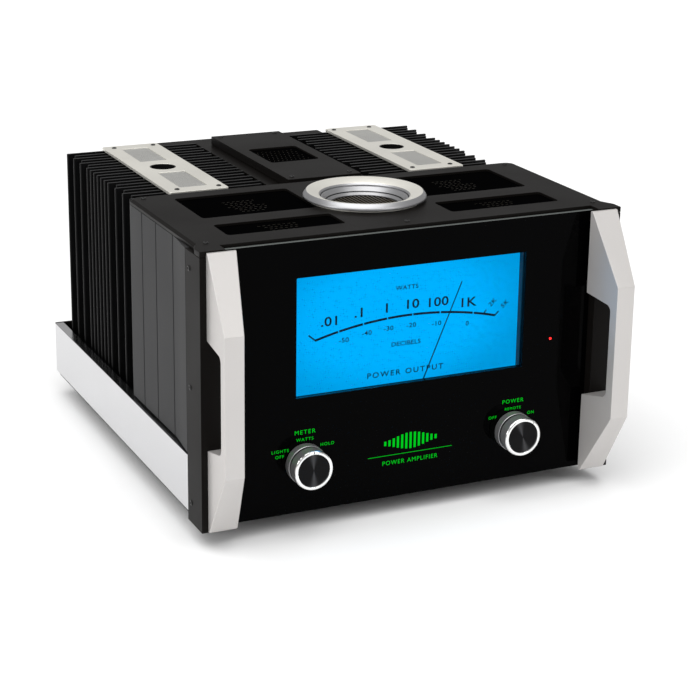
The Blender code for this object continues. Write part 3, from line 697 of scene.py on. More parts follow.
def copies_tree():
    """Copies of a shape on points, each turned to its point's facing."""
    if "Copies on points" in bpy.data.node_groups:
        return bpy.data.node_groups["Copies on points"]
    tree, given = new_tree("Copies on points",
                           (("Shape", "Object"), ("Size", "Float"), ("Material", "Material")))
    shape = add_node(tree, "GeometryNodeObjectInfo", {"Object": given["Shape"]})
    facing = add_node(tree, "GeometryNodeInputNamedAttribute", {"Name": "facing"}, data_type="FLOAT_VECTOR")
    turned = add_node(tree, "FunctionNodeAlignRotationToVector", {"Vector": facing.outputs["Attribute"]},
                      axis="Z")
    placed = add_node(tree, "GeometryNodeInstanceOnPoints",
                      {"Points": given["Geometry"], "Instance": shape.outputs["Geometry"],
                       "Rotation": turned.outputs["Rotation"], "Scale": given["Size"]})
    return close_tree(tree, given, placed.outputs["Instances"])


def fins_tree():
    """Upright fins in a row; every second one is shorter, apart from those in the middle."""
    if "Row of fins" in bpy.data.node_groups:
        return bpy.data.node_groups["Row of fins"]
    tree, given = new_tree("Row of fins", (
        ("Count", "Int"), ("Pitch", "Float"), ("Thickness", "Float"), ("Reach", "Float"),
                                           ("Short share", "Float"),
        ("Height", "Float"), ("Side", "Float"), ("Start", "Vector"), ("Material", "Material")))
    plan = add_node(tree, "GeometryNodeCurvePrimitiveQuadrilateral",
                    {"Width": given["Reach"], "Height": given["Thickness"]})
    radius = maths(tree, "MULTIPLY", given["Thickness"], 0.42)
    round_plan = add_node(tree, "GeometryNodeFilletCurve", {"Curve": plan.outputs["Curve"], "Count": 3,
                                                            "Radius": radius}, mode="POLY")
    flat = add_node(tree, "GeometryNodeFillCurve", {"Curve": round_plan.outputs["Curve"]}, mode="NGONS")
    raised = add_node(tree, "GeometryNodeExtrudeMesh", {"Mesh": flat.outputs["Mesh"],
                                                        "Offset": vector(tree, 0.0, 0.0, 1.0),
                                                        "Offset Scale": given["Height"]})
    base = add_node(tree, "GeometryNodeFlipFaces", {"Mesh": flat.outputs["Mesh"]})
    whole = add_node(tree, "GeometryNodeJoinGeometry")
    tree.links.new(raised.outputs["Mesh"], whole.inputs["Geometry"])
    tree.links.new(base.outputs["Mesh"], whole.inputs["Geometry"])
    welded = add_node(tree, "GeometryNodeMergeByDistance", {"Geometry": whole.outputs["Geometry"],
                                                            "Distance": 0.00001})
    half = maths(tree, "MULTIPLY", maths(tree, "MULTIPLY", given["Reach"], 0.5), given["Side"])
    moved = add_node(tree, "GeometryNodeTransform", {"Geometry": welded.outputs["Geometry"],
                                                     "Translation": vector(tree, half)})
    row = add_node(tree, "GeometryNodeMeshLine", {"Count": given["Count"], "Start Location": given["Start"],
                                                  "Offset": vector(tree, 0.0, given["Pitch"], 0.0)})
    index = add_node(tree, "GeometryNodeInputIndex").outputs["Index"]
    odd = maths(tree, "MODULO", index, 2.0)
    centre = maths(tree, "MULTIPLY", maths(tree, "SUBTRACT", given["Count"], 1.0), 0.5)
    outer = maths(tree, "GREATER_THAN", maths(tree, "ABSOLUTE", maths(tree, "SUBTRACT", index, centre)), 2.5)
    less = maths(tree, "MULTIPLY", maths(tree, "MULTIPLY", odd, outer), maths(tree, "SUBTRACT", 1.0,
                                                                            given["Short share"]))
    size = vector(tree, maths(tree, "SUBTRACT", 1.0, less), 1.0, 1.0)
    placed = add_node(tree, "GeometryNodeInstanceOnPoints",
                      {"Points": row.outputs["Mesh"], "Instance": moved.outputs["Geometry"], "Scale": size})
    whole = add_node(tree, "GeometryNodeJoinGeometry")
    tree.links.new(placed.outputs["Instances"], whole.inputs["Geometry"])
    tree.links.new(given["Geometry"], whole.inputs["Geometry"])
    return close_tree(tree, given, whole.outputs["Geometry"])


def wires(tree, count, pitch, size, centre, along):
    """Bars side by side in one direction of a mesh."""
    first = maths(tree, "MULTIPLY", maths(tree, "MULTIPLY", maths(tree, "SUBTRACT", count, 1.0), pitch), -0.5)
    start = add_node(tree, "ShaderNodeVectorMath", {0: centre, 1: vector(tree, **{along: first})},
                     operation="ADD")
    row = add_node(tree, "GeometryNodeMeshLine", {"Count": count, "Start Location": start.outputs["Vector"],
                                                  "Offset": vector(tree, **{along: pitch})})
    bar = add_node(tree, "GeometryNodeMeshCube", {"Size": size})
    return add_node(tree, "GeometryNodeInstanceOnPoints",
                    {"Points": row.outputs["Mesh"], "Instance": bar.outputs["Mesh"]}).outputs["Instances"]


def wire_mesh_tree():
    """Crossed wires over a rectangle."""
    if "Wire mesh" in bpy.data.node_groups:
        return bpy.data.node_groups["Wire mesh"]
    tree, given = new_tree("Wire mesh", (("Width", "Float"), ("Length", "Float"), ("Pitch", "Float"),
                                         ("Wire", "Float"), ("Centre", "Vector"), ("Material", "Material")))
    both = add_node(tree, "GeometryNodeJoinGeometry")
    across = maths(tree, "FLOOR", maths(tree, "DIVIDE", given["Width"], given["Pitch"]))
    down = maths(tree, "FLOOR", maths(tree, "DIVIDE", given["Length"], given["Pitch"]))
    one = wires(tree, across, given["Pitch"], vector(tree, given["Wire"], given["Length"], given["Wire"]),
                given["Centre"], "x")
    two = wires(tree, down, given["Pitch"], vector(tree, given["Width"], given["Wire"],
                                                   maths(tree, "MULTIPLY", given["Wire"], 0.8)),
                given["Centre"], "y")
    tree.links.new(one, both.inputs["Geometry"])
    tree.links.new(two, both.inputs["Geometry"])
    return close_tree(tree, given, both.outputs["Geometry"])


def round_grille_tree():
    """Straight bars side by side, each as long as a circle allows."""
    if "Round grille" in bpy.data.node_groups:
        return bpy.data.node_groups["Round grille"]
    tree, given = new_tree("Round grille", (("Count", "Int"), ("Radius", "Float"), ("Bar", "Float"),
                                            ("Depth", "Float"), ("Centre", "Vector"),
                                            ("Material", "Material")))
    pitch = maths(tree, "DIVIDE", maths(tree, "MULTIPLY", given["Radius"], 2.0), given["Count"])
    first = maths(tree, "ADD", maths(tree, "MULTIPLY", given["Radius"], -1.0),
                  maths(tree, "MULTIPLY", pitch, 0.5))
    row = add_node(tree, "GeometryNodeMeshLine",
                   {"Count": given["Count"], "Start Location": vector(tree, first),
                                                  "Offset": vector(tree, pitch)})
    position = add_node(tree, "GeometryNodeInputPosition").outputs["Position"]
    across = add_node(tree, "ShaderNodeSeparateXYZ", {"Vector": position}).outputs["X"]
    square = maths(tree, "MULTIPLY", given["Radius"], given["Radius"])
    reach = maths(tree, "SQRT", maths(tree, "SUBTRACT", square, maths(tree, "MULTIPLY", across, across)))
    bar = add_node(tree, "GeometryNodeMeshCube", {"Size": vector(tree, given["Bar"], 2.0, given["Depth"])})
    placed = add_node(tree, "GeometryNodeInstanceOnPoints",
                      {"Points": row.outputs["Mesh"], "Instance": bar.outputs["Mesh"],
                       "Scale": vector(tree, 1.0, reach, 1.0)})
    moved = add_node(tree, "GeometryNodeTransform", {"Geometry": placed.outputs["Instances"],
                                                     "Translation": given["Centre"]})
    return close_tree(tree, given, moved.outputs["Geometry"])


def grow(name, tree, values, base=None):
    """A plain mesh piece from a geometry tree and its named inputs."""
    piece = bpy.data.objects.new(name, base or bpy.data.meshes.new(name))
    bpy.context.scene.collection.objects.link(piece)
    modifier = piece.modifiers.new("Nodes", "NODES")
    modifier.node_group = tree
    sockets = {item.name: item.identifier for item in tree.interface.items_tree if item.in_out == "INPUT"}
    for label, value in values.items():
        modifier[sockets[label]] = value
    bake(piece)
    return piece


def points_mesh(name, points):
    """Loose points with their facing, from ((x, d, h), facing) pairs."""
    mesh = bpy.data.meshes.new(name)
    mesh.from_pydata([place(*point) for point, _ in points], [], [])
    facing = mesh.attributes.new("facing", "FLOAT_VECTOR", "POINT")
    for item, (_, way) in zip(facing.data, points):
        item.vector = way
    return mesh


def copies(name, shape, points, made, size=1.0):
    """Copies of a helper shape on points, as one piece; the helper is removed by the caller."""
    values = {"Shape": shape, "Size": size, "Material": made}
    return grow(name, copies_tree(), values, points_mesh(name, points))


def helper(name, bm, sharp=35.0):
    """A shape about its own origin, in millimetres, used only for copying."""
    for vert in bm.verts:
        vert.co = vert.co * MM
    bmesh.ops.recalc_face_normals(bm, faces=bm.faces)
    mesh = bpy.data.meshes.new(name)
    bm.to_mesh(mesh)
    bm.free()
    mesh.shade_smooth()
    mesh.set_sharp_from_angle(angle=math.radians(sharp))
    made = bpy.data.objects.new(name, mesh)
    bpy.context.scene.collection.objects.link(made)
    return made


# ---- pieces -----------------------------------------------------------------------------------
FIXED = "amplifier"      # the body of everything that doesn't move


def combine(piece, bm, operation):
    """Joins a shape on, or cuts it out, and keeps the result."""
    tool = to_piece(piece.name + "_tool", bm, piece.data.materials[0])
    modifier = piece.modifiers.new("Combine", "BOOLEAN")
    modifier.object = tool
    modifier.operation = operation
    modifier.solver = "EXACT"
    bake(piece)
    bpy.data.objects.remove(tool)
    return piece


def coat(node, made):
    """A better finish on a frame node that keeps its mesh."""
    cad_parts[node].material_slots[0].material = made


class AmplifierStep:
    """What every operator of this add-on shares."""
    bl_options = {"REGISTER"}


class AMPLIFIER_OT_end_plates(AmplifierStep, bpy.types.Operator):
    """Black plates at the two front corners"""
    bl_idname = "amplifier.end_plates"
    bl_label = "End Plates"

    def execute(self, context):
        edge = context.scene.amplifier_casing.edge
        for side in ("left", "right"):
            softened_copy(f"end_plate_{side}", f"{side}_end_plate", satin_paint(), edge, FIXED, "black_paint")
        return {"FINISHED"}


class AMPLIFIER_OT_handles(AmplifierStep, bpy.types.Operator):
    """Faceted aluminium handles with a finger opening behind the grip"""
    bl_idname = "amplifier.handles"
    bl_label = "Handles"

    def execute(self, context):
        low, high = span("handle_right")
        back, reach = high.y, low.y
        grip, bend = reach + 9.4, 7.0
        outside = [(back, low.z), (-3.4, low.z), (reach, low.z + 67.8), (reach, high.z - 68.3),
                   (-3.5, high.z),
                   (back, high.z)]
        upper = [(back, 190.3), (grip + 8.0, 185.6)] + arc((grip + bend, 178.5), bend, 112.0, 180.0, 8)
        lower = arc((grip + bend, 95.5), bend, 180.0, 260.0, 8) + [(back, 82.8)]
        for side, sign in (("left", -1.0), ("right", 1.0)):
            def slanted(pair, level):
                forward = (-3.4 - pair[0]) / (-3.4 - reach)
                inner = low.x + 0.7 + 8.3 * forward
                outer = high.x - 0.1 - 0.6 * forward
                return (sign * (inner + level * (outer - inner)), pair[0], pair[1])

            bm = bmesh.new()
            add_prism(bm, outside + upper + lower, 0.0, 1.0, slanted)
            handle = soften(to_piece(f"{side}_handle", bm, handle_silver_shaded()),
                            context.scene.amplifier_casing.handle_edge, 3, 12.0)
            settle(handle, FIXED, "satin_aluminium", f"handle_{side}")
        return {"FINISHED"}


class AMPLIFIER_OT_front_glass(AmplifierStep, bpy.types.Operator):
    """Black glass panel with a clear pane over the meter"""
    bl_idname = "amplifier.front_glass"
    bl_label = "Front Glass"

    def execute(self, context):
        low, high = span("front_glass")
        opening_low, opening_high = span("dial_plate")
        xs = (opening_low.x - 0.3, opening_high.x + 0.3)
        hs = (117.7, opening_high.z + 0.3)
        bm = bmesh.new()
        add_box(bm, (low.x, high.x), (low.y, high.y), (low.z, high.z))
        sheet = to_piece("black_front_glass", bm, black_glass(), ground_edge())
        bm = bmesh.new()
        add_prism(bm, rounded_rectangle(xs, hs, 0.8, 4), low.y - 3.0, high.y + 3.0, lengthwise)
        combine(sheet, bm, "DIFFERENCE")
        for knob in ("meter_knob", "power_knob"):
            bm = bmesh.new()
            centre = middle(knob)
            add_turned(bm, [(0.0, low.y - 3.0), (4.0, low.y - 3.0), (4.0, high.y + 3.0), (0.0, high.y + 3.0)],
                       centre, "d", 32)
            combine(sheet, bm, "DIFFERENCE")
        soften(sheet, 0.0004, 2)
        outline = (place(0, 0, high.z - 0.2).z, place(high.x - 0.2, 0, 0).x)
        for face in sheet.data.polygons:
            rim = face.center.z > outline[0] or abs(face.center.x) > outline[1]
            face.material_index = 1 if rim and abs(face.normal.y) < 0.9 else 0
        settle(sheet, FIXED, "black_glass", "front_glass")
        bm = bmesh.new()
        add_prism(bm, rounded_rectangle((xs[0] + FINE_GAP, xs[1] - FINE_GAP),
                                        (hs[0] + FINE_GAP, hs[1] - FINE_GAP),
                                        0.8, 4), low.y, high.y, lengthwise)
        settle(to_piece("meter_pane", bm, clear_glass()), FIXED, "black_glass")
        return {"FINISHED"}


class AMPLIFIER_OT_meter(AmplifierStep, bpy.types.Operator):
    """Lit scale with its arc, numbers and needle"""
    bl_idname = "amplifier.meter"
    bl_label = "Meter"
    breaks = (-73.7, -47.5, -21.9, 5.2, 35.1, 71.9)
    ends = (-98.0, 96.4)
    arc_top = (3.0, 182.7)

    def arc_point(self, x, radius):
        """The point of a circle about the arc's centre, over x on the arc itself."""
        reach = bpy.context.scene.amplifier_meter.arc_radius / MM
        angle = math.asin((x - self.arc_top[0]) / reach)
        return (self.arc_top[0] + radius * math.sin(angle),
                self.arc_top[1] - reach + radius * math.cos(angle))

    def execute(self, context):
        settings = context.scene.amplifier_meter
        depth = span("dial_plate")[0].y - FINE_GAP
        half, reach = settings.arc_width / MM / 2.0, settings.arc_radius / MM
        big, small = settings.numeral_height / MM, settings.small_height / MM
        bm = bmesh.new()
        limits = [self.ends[0], *self.breaks, self.ends[1]]
        for start, stop in zip(limits, limits[1:]):
            first = start + (0.6 if start != self.ends[0] else 0.0)
            last = stop - (0.6 if stop != self.ends[1] else 0.0)
            xs = [first + (last - first) * i / 8 for i in range(9)]
            outline = [self.arc_point(x, reach + half) for x in xs]
            outline += [self.arc_point(x, reach - half) for x in reversed(xs)]
            add_prism(bm, outline, depth - FINE_GAP, depth, lengthwise)
        for (x, h), (far_x, far_h), width in (((-97.4, 168.6), (-105.0, 174.8), 0.7),
                                              ((95.9, 170.7), (100.4, 174.8), 0.7),
                                              ((83.9, 174.6), (86.4, 177.8), 0.6)):
            way = Vector((far_x - x, far_h - h)).normalized() * width
            add_prism(bm,
                      [(x + way.y, h - way.x), (far_x + way.y, far_h - way.x), (far_x - way.y, far_h + way.x),
                           (x - way.y, h + way.x)], depth - FINE_GAP, depth, lengthwise)
        for text, place_on_dial in ((".01", (-83.8, 186.4)), (".1", (-52.9, 191.2)), ("1", (-22.9, 192.5)),
                                    ("10", (5.3, 193.6)), ("100", (33.2, 192.5)), ("1K", (66.9, 188.2))):
            lettering(bm, text, big, place_on_dial, depth, 1.25, 1.05, 0.0, 0.16)
        for text, place_on_dial in (("2K", (93.1, 184.9)), ("5K", (107.0, 181.8))):
            lettering(bm, text, small, place_on_dial, depth, 1.15, 1.1, math.radians(42.0), 0.12)
        for text, place_on_dial in (("-50", (-68.0, 165.7)), ("-40", (-43.8, 169.9)), ("-30", (-20.6, 171.7)),
                                    ("-20", (3.8, 172.1)), ("-10", (31.5, 170.5)), ("0", (65.5, 166.3))):
            lettering(bm, text, small, place_on_dial, depth, 1.15, 1.1, 0.0, 0.12)
        for text, cap, place_on_dial, spacing in (("WATTS", 4.3, (-1.6, 211.2), 1.1),
                                                  ("DECIBELS", 4.6, (-1.3, 154.6), 1.05),
                                                  ("POWER OUTPUT", 5.6, (-1.2, 125.6), 1.3)):
            lettering(bm, text, cap, place_on_dial, depth, 1.15, spacing, 0.0, 0.12)
        settle(to_piece("scale_printing", bm, scale_ink()), FIXED, "blue_dial")
        coat("dial_plate", scale_light())
        # The meter well's walls carry a blue tint that is painted light from the scale.
        coat("meter_box", meter_wall())
        coat("meter_movement", black_plastic())
        softened_copy("needle", "meter_pointer", scale_ink(), 0.0001, "meter_needle", "black_plastic", 1)
        return {"FINISHED"}


class AMPLIFIER_OT_legends(AmplifierStep, bpy.types.Operator):
    """Lit lettering at the knobs, a plain bar mark and the lamp"""
    bl_idname = "amplifier.legends"
    bl_label = "Legends"

    def execute(self, context):
        settings = context.scene.amplifier_front
        title, word = settings.title_height / MM, settings.word_height / MM
        depth = span("front_glass")[0].y - FINE_GAP / 2.0
        bm = bmesh.new()
        for text, cap, spot in (("METER", title, (-113.0, 82.9)), ("WATTS", word, (-113.3, 75.4)),
                                ("LIGHTS", word, (-138.8, 66.5)), ("OFF", word, (-139.3, 61.0)),
                                ("HOLD", word, (-89.7, 67.5)), ("POWER", title, (114.0, 82.4)),
                                ("REMOTE", word * 0.9, (114.2, 74.5)), ("ON", word, (134.8, 67.3)),
                                ("OFF", word, (91.3, 67.5))):
            lettering(bm, text, cap, spot, depth, 1.05, 1.25)
        lettering(bm, "POWER AMPLIFIER", 4.4, (0.0, 37.0), depth, 1.0, 1.2)
        add_box(bm, (-46.0, 46.0), (depth - FINE_GAP / 2.0, depth), (44.6, 45.1))
        for i in range(-6, 7):
            rise = 2.0 + 6.5 * math.cos(math.radians(13.0 * i)) ** 2
            across = (4.6 * i - 1.2, 4.6 * i + 1.2)
            add_box(bm, across, (depth - FINE_GAP / 2.0, depth), (57.5 - rise, 57.5 + rise))
        settle(to_piece("lit_legends", bm, legend_light()), FIXED, "black_glass")
        centre = middle("status_led")
        lamp = [(0.0, depth - 0.04), (1.2, depth - 0.04), (1.3, depth), (0.0, depth)]
        turned_piece("standby_lamp", lamp, centre, [red_lens()], FIXED, "red_lens", axis="d", sides=32)
        coat("status_led", red_lens())
        return {"FINISHED"}


class AMPLIFIER_OT_knobs(AmplifierStep, bpy.types.Operator):
    """Turned knobs with a bright rim, a spun face and an index notch"""
    bl_idname = "amplifier.knobs"
    bl_label = "Knobs"
    pointing = {"meter_knob": 0.0, "power_knob": 40.0}
    # Lean from upright, in degrees, of the sheen painted into each knob face's colour.
    sheen = {"meter_knob": -2.0, "power_knob": -16.0}

    def execute(self, context):
        disc = context.scene.amplifier_front.knob_face / MM
        for knob, angle in self.pointing.items():
            low, high = span(knob)
            centre, radius, face = (low + high) / 2.0, (high.x - low.x) / 2.0, low.y
            side = radius - 0.3
            profile = [(0.0, face + 1.0, 2), (disc, face + 1.2, 1), (disc + 0.25, face + 0.25, 1),
                       (disc + 0.6, face, 1), (radius - 1.5, face, 1), (radius - 0.5, face + 0.5, 1),
                       (radius, face + 1.5, 0), (side, face + 2.1, 0), (side, -1.8, 3), (side - 0.3, -1.6, 3),
                       (side - 2.6, -1.6, 3), (side - 2.6, 0.9, 3), (radius - 0.4, 0.9, 0), (radius, 1.3, 0),
                       (radius, 9.2, 0), (3.0, 9.2, 0), (3.0, high.y, 0), (0.0, high.y, 0)]
            bm = bmesh.new()
            add_turned(bm, profile, centre, "d", 160)
            name = f"turned_{knob}"
            finish = spun_metal(f"spun_face_{knob}", tuple(place(centre.x, face, centre.z)),
                                math.radians(self.sheen[knob]))
            piece = to_piece(name, bm, dark_chrome(), bright_silver(), finish, black_plastic(), sharp=25.0)
            lean = math.radians(angle)
            bm = bmesh.new()
            add_box(bm, (-0.7, 0.7), (face - 1.0, face + 1.4), (disc + 0.9, radius + 1.0))
            for vert in bm.verts:
                x, h = vert.co.x, vert.co.z
                vert.co.x = centre.x + x * math.cos(lean) + h * math.sin(lean)
                vert.co.z = centre.z + h * math.cos(lean) - x * math.sin(lean)
            combine(piece, bm, "DIFFERENCE")
            settle(piece, knob, "satin_aluminium", knob)
        return {"FINISHED"}


class AMPLIFIER_OT_top_plate(AmplifierStep, bpy.types.Operator):
    """Top plate with a chamfered edge, four windows and the ring's hole"""
    bl_idname = "amplifier.top_plate"
    bl_label = "Top Plate"

    def execute(self, context):
        low, high = span("top_plate")
        settings = context.scene.amplifier_casing
        corner = settings.corner / MM
        glass_x, side_x, rear_d = span("front_glass")[1].x, span("side_panel_right")[1].x - 4.25, high.y
        loops = []
        bm = bmesh.new()
        for inset, h in ((0.0, low.z), (0.0, high.z - 2.2), (2.6, high.z)):
            side, rear = side_x - inset, rear_d - inset
            right = [(glass_x, 15.6), (glass_x, 0.0), (high.x, 0.0), (high.x, 13.0), (side, 27.0)]
            right += arc((side - corner, rear - corner), corner, 0.0, 90.0, 10)
            loops.append([bm.verts.new((x, d, h)) for x, d in right + mirrored(right)])
        bm.faces.new(loops[0])
        bm.faces.new(reversed(loops[-1]))
        count = len(loops[0])
        for one, two in zip(loops, loops[1:]):
            for i in range(count):
                bm.faces.new((one[i], two[i], two[(i + 1) % count], one[(i + 1) % count]))
        plate = to_piece("painted_top_plate", bm, satin_paint())
        bm = bmesh.new()
        add_box(bm, (-212.0, 212.0), (19.0, 211.0), (low.z - 4.0, high.z - 2.7))
        combine(plate, bm, "DIFFERENCE")
        ring_centre = middle("trim_ring")
        bm = bmesh.new()
        for ds in ((44.5, 84.0), (110.5, 192.5)):
            for xs in ((-177.5, -57.0), (57.0, 177.5)):
                add_prism(bm, rounded_rectangle(xs, ds, 4.0), high.z - 4.0, high.z + 4.0)
        add_turned(bm, [(0.0, high.z - 4.0), (46.0, high.z - 4.0), (46.0, high.z + 4.0), (0.0, high.z + 4.0)],
                   ring_centre, sides=96)
        combine(plate, bm, "DIFFERENCE")
        settle(soften(plate, settings.edge * 0.8, 2, 25.0), FIXED, "black_paint", "top_plate")
        return {"FINISHED"}


class AMPLIFIER_OT_top_windows(AmplifierStep, bpy.types.Operator):
    """Black glass under the top plate's windows, with faint gold print"""
    bl_idname = "amplifier.top_windows"
    bl_label = "Top Windows"

    def execute(self, context):
        coat("top_glass", window_glass())
        level = span("top_glass")[1].z + 0.02
        bm = bmesh.new()
        add_box(bm, (-1.4, 1.4), (-0.25, 0.25), (0.0, 0.03))
        dash = helper("dash", bm)
        points = []
        for side in (-1.0, 1.0):
            for middle_d, rows in ((64.0, 4), (151.0, 7)):
                for row in range(rows):
                    d = middle_d + 6.5 * (row - (rows - 1) / 2.0)
                    count = 5 + (row * 5) % 4
                    for i in range(count):
                        x = side * 117.0 + 5.2 * (i - (count - 1) / 2.0) + 3.0 * math.sin(row)
                        points.append(((x, d, level), (0.0, 0.0, 1.0)))
        settle(copies("window_print", dash, points, gold_ink()), FIXED, "gold_plate")
        bpy.data.objects.remove(dash)
        return {"FINISHED"}


class AMPLIFIER_OT_trim_ring(AmplifierStep, bpy.types.Operator):
    """Silver ring on the top plate, its throat and the slotted grille in it"""
    bl_idname = "amplifier.trim_ring"
    bl_label = "Trim Ring"

    def execute(self, context):
        sides = context.scene.amplifier_cooling.sides
        low, high = span("trim_ring")
        centre, base, radius = (low + high) / 2.0, low.z, (high.x - low.x) / 2.0
        profile = [(58.0, base, 0), (58.0, base + 1.6, 0), (radius - 0.6, base + 2.1, 1),
                   (radius, base + 2.6, 1),
                   (radius, base + 4.0, 1), (radius - 0.3, base + 4.7, 1), (59.0, base + 8.3, 1),
                   (58.5, base + 8.6, 0), (57.9, high.z, 0), (57.0, high.z - 0.1, 0), (46.6, base + 4.9, 0),
                   (45.9, base + 4.5, 1), (45.2, base + 3.9, 1), (44.5, base + 3.0, 1), (44.5, base, 0)]
        turned_piece("silver_ring", profile, centre, [blasted_silver(), satin_silver()], FIXED,
                     "satin_aluminium",
                     ["trim_ring"], sides=sides)
        low, high = span("ring_grille")
        foot, top = low.z, high.z
        profile = [(34.0, foot, 0), (49.8, foot, 0), (49.8, foot + 2.0, 0), (44.9, foot + 2.1, 1),
                   (44.1, top - 0.8, 0), (43.6, top - 0.1, 0), (42.9, top, 0), (42.2, top - 0.3, 0),
                   (39.7, top - 4.4, 1), (39.2, top - 5.2, 1), (38.6, top - 5.3, 0), (37.6, top - 5.0, 0),
                   (36.9, top - 5.3, 0), (35.6, top - 7.6, 1), (34.0, top - 8.0, 1)]
        turned_piece("grille_throat", profile, centre, [satin_silver(), screw_black()], FIXED,
                     "satin_aluminium",
                     ["ring_grille"], sides=sides)
        spot = place(centre.x, centre.y, foot + 1.0)
        bars = grow("grille_bars", round_grille_tree(), {
            "Count": 17, "Radius": 34.6 * MM, "Bar": 1.7 * MM, "Depth": 1.6 * MM, "Centre": spot,
            "Material": gold_ink()})
        settle(bars, FIXED, "satin_aluminium")
        return {"FINISHED"}


class AMPLIFIER_OT_side_panels(AmplifierStep, bpy.types.Operator):
    """Grooved side panels of the housing with a rounded rear corner"""
    bl_idname = "amplifier.side_panels"
    bl_label = "Side Panels"

    def execute(self, context):
        low, high = span("side_panel_right")
        face = high.x - 4.25
        outline = [(high.x, low.y), (high.x - 2.05, 58.0), (face, 78.0)]
        for d in (84.0, 132.0, 173.0):
            outline += [(face, d - 1.0), (face - 1.5, d - 0.6), (face - 1.5, d + 0.6), (face, d + 1.0)]
        outline += arc((face - 8.0, high.y - 8.0 + 1.1), 8.0, 0.0, 60.0, 8)
        outline += [(low.x, high.y), (low.x, low.y)]
        for side, plan in (("right", outline), ("left", mirrored(outline))):
            bm = bmesh.new()
            add_prism(bm, plan, low.z, high.z)
            panel = soften(to_piece(f"{side}_side_panel", bm, side_paint()), 0.0003, 2, 20.0)
            settle(panel, FIXED, "black_paint", f"side_panel_{side}")
        return {"FINISHED"}


class AMPLIFIER_OT_chassis(AmplifierStep, bpy.types.Operator):
    """Polished tray, bottom plate and the housing's rear wall"""
    bl_idname = "amplifier.chassis"
    bl_label = "Chassis"

    def execute(self, context):
        softened_copy("base_chassis", "polished_tray", polished_steel(), 0.0005, FIXED, "polished_steel", 3)
        softened_copy("bottom_plate", "painted_bottom_plate", satin_paint(), 0.0004, FIXED, "black_paint")
        softened_copy("housing_rear_wall", "painted_housing_wall", satin_paint(), 0.0003, FIXED,
                      "black_paint")
        return {"FINISHED"}


class AMPLIFIER_OT_feet(AmplifierStep, bpy.types.Operator):
    """Rubber feet, dished underneath round their screw"""
    bl_idname = "amplifier.feet"
    bl_label = "Feet"

    def execute(self, context):
        for end in ("front", "rear"):
            for side in ("left", "right"):
                low, high = span(f"foot_{end}_{side}")
                floor, top = low.z, high.z
                profile = [(0.0, floor + 5.0), (4.5, floor + 5.0), (5.0, floor + 4.6), (6.0, floor + 0.6),
                           (6.8, floor), (14.2, floor), (15.2, floor + 0.3), (16.0, floor + 1.1),
                           (17.2, floor + 4.0), (18.8, top - 0.6), (18.4, top), (0.0, top)]
                turned_piece(f"{end}_{side}_foot", profile, (low + high) / 2.0, [rubber()], FIXED, "rubber",
                             [f"foot_{end}_{side}"], sides=48)
        return {"FINISHED"}


class AMPLIFIER_OT_heat_sinks(AmplifierStep, bpy.types.Operator):
    """Finned extrusions on both sides of each duct"""
    bl_idname = "amplifier.heat_sinks"
    bl_label = "Heat Sinks"

    def execute(self, context):
        settings = context.scene.amplifier_cooling
        thickness = settings.fin / MM
        for kind, short_tip, inward in (("outer", 5.5, -1.0), ("inner", 4.0, 1.0)):
            for side, sign in (("left", -1.0), ("right", 1.0)):
                node = f"heatsink_{kind}_{side}"
                low, high = span(node)
                away = sign * -inward
                wall, tip = (low.x, high.x) if away > 0.0 else (high.x, low.x)
                spine = wall + away * 7.0
                reach = abs(tip - spine) + 0.4
                bm = bmesh.new()
                add_box(bm, sorted((wall, spine)), (low.y, high.y), (low.z, high.z))
                base = to_piece("spine", bm, anodised_black()).data
                bpy.data.objects.remove(bpy.data.objects["spine"])
                row = grow(f"{side}_{kind}_heat_sink", fins_tree(), {
                    "Count": settings.fins, "Pitch": (high.y - low.y - thickness) / (settings.fins - 1) * MM,
                    "Thickness": settings.fin, "Reach": reach * MM, "Short share": 1.0 - short_tip / reach,
                    "Height": (high.z - low.z) * MM, "Side": away,
                    "Start": place(spine - away * 0.4, low.y + thickness / 2.0, low.z),
                    "Material": anodised_black()}, base)
                settle(row, FIXED, "black_anodised", node)
        return {"FINISHED"}


class AMPLIFIER_OT_duct_covers(AmplifierStep, bpy.types.Operator):
    """Silver plates over the ducts, with a round vent and two mesh openings"""
    bl_idname = "amplifier.duct_covers"
    bl_label = "Duct Covers"

    def execute(self, context):
        settings = context.scene.amplifier_cooling
        for side in ("left", "right"):
            low, high = span(f"duct_cover_{side}")
            centre = (low + high) / 2.0
            bm = bmesh.new()
            add_prism(bm, rounded_rectangle((low.x, high.x), (low.y, high.y), 3.0), low.z, high.z)
            cover = to_piece(f"{side}_duct_cover", bm, blasted_silver())
            tube = [(0.0, low.z - 4.0), (14.0, low.z - 4.0), (14.0, high.z + 4.0), (0.0, high.z + 4.0)]
            bm = bmesh.new()
            add_turned(bm, tube, centre, sides=72)
            openings = []
            for ds in ((247.0, 316.0), (371.0, 437.5)):
                xs = (centre.x - 15.0, centre.x + 15.0)
                openings.append((xs, ds))
                add_prism(bm, rounded_rectangle(xs, ds, 1.5, 4), low.z - 4.0, high.z + 4.0)
            combine(cover, bm, "DIFFERENCE")
            settle(soften(cover, 0.0004, 2), FIXED, "satin_aluminium", f"duct_cover_{side}")
            for part, (xs, ds) in zip(("front", "rear"), openings):
                spot = place(sum(xs) / 2.0, sum(ds) / 2.0, high.z - 1.2)
                weave = grow(f"{side}_{part}_duct_mesh", wire_mesh_tree(), {
                    "Width": (xs[1] - xs[0]) * MM, "Length": (ds[1] - ds[0]) * MM,
                                                                            "Pitch": settings.mesh_pitch,
                    "Wire": settings.mesh_wire, "Centre": spot, "Material": mesh_silver()})
                settle(weave, FIXED, "satin_aluminium")
            collar = [(12.9, 250.0), (13.9, 250.0), (13.9, high.z - 0.4), (12.9, high.z - 0.4)]
            turned_piece(f"{side}_vent_collar", collar, centre, [screw_black()], FIXED, "black_plastic",
                         sides=72)
            coat(f"output_transistors_{side}", epoxy())
        return {"FINISHED"}


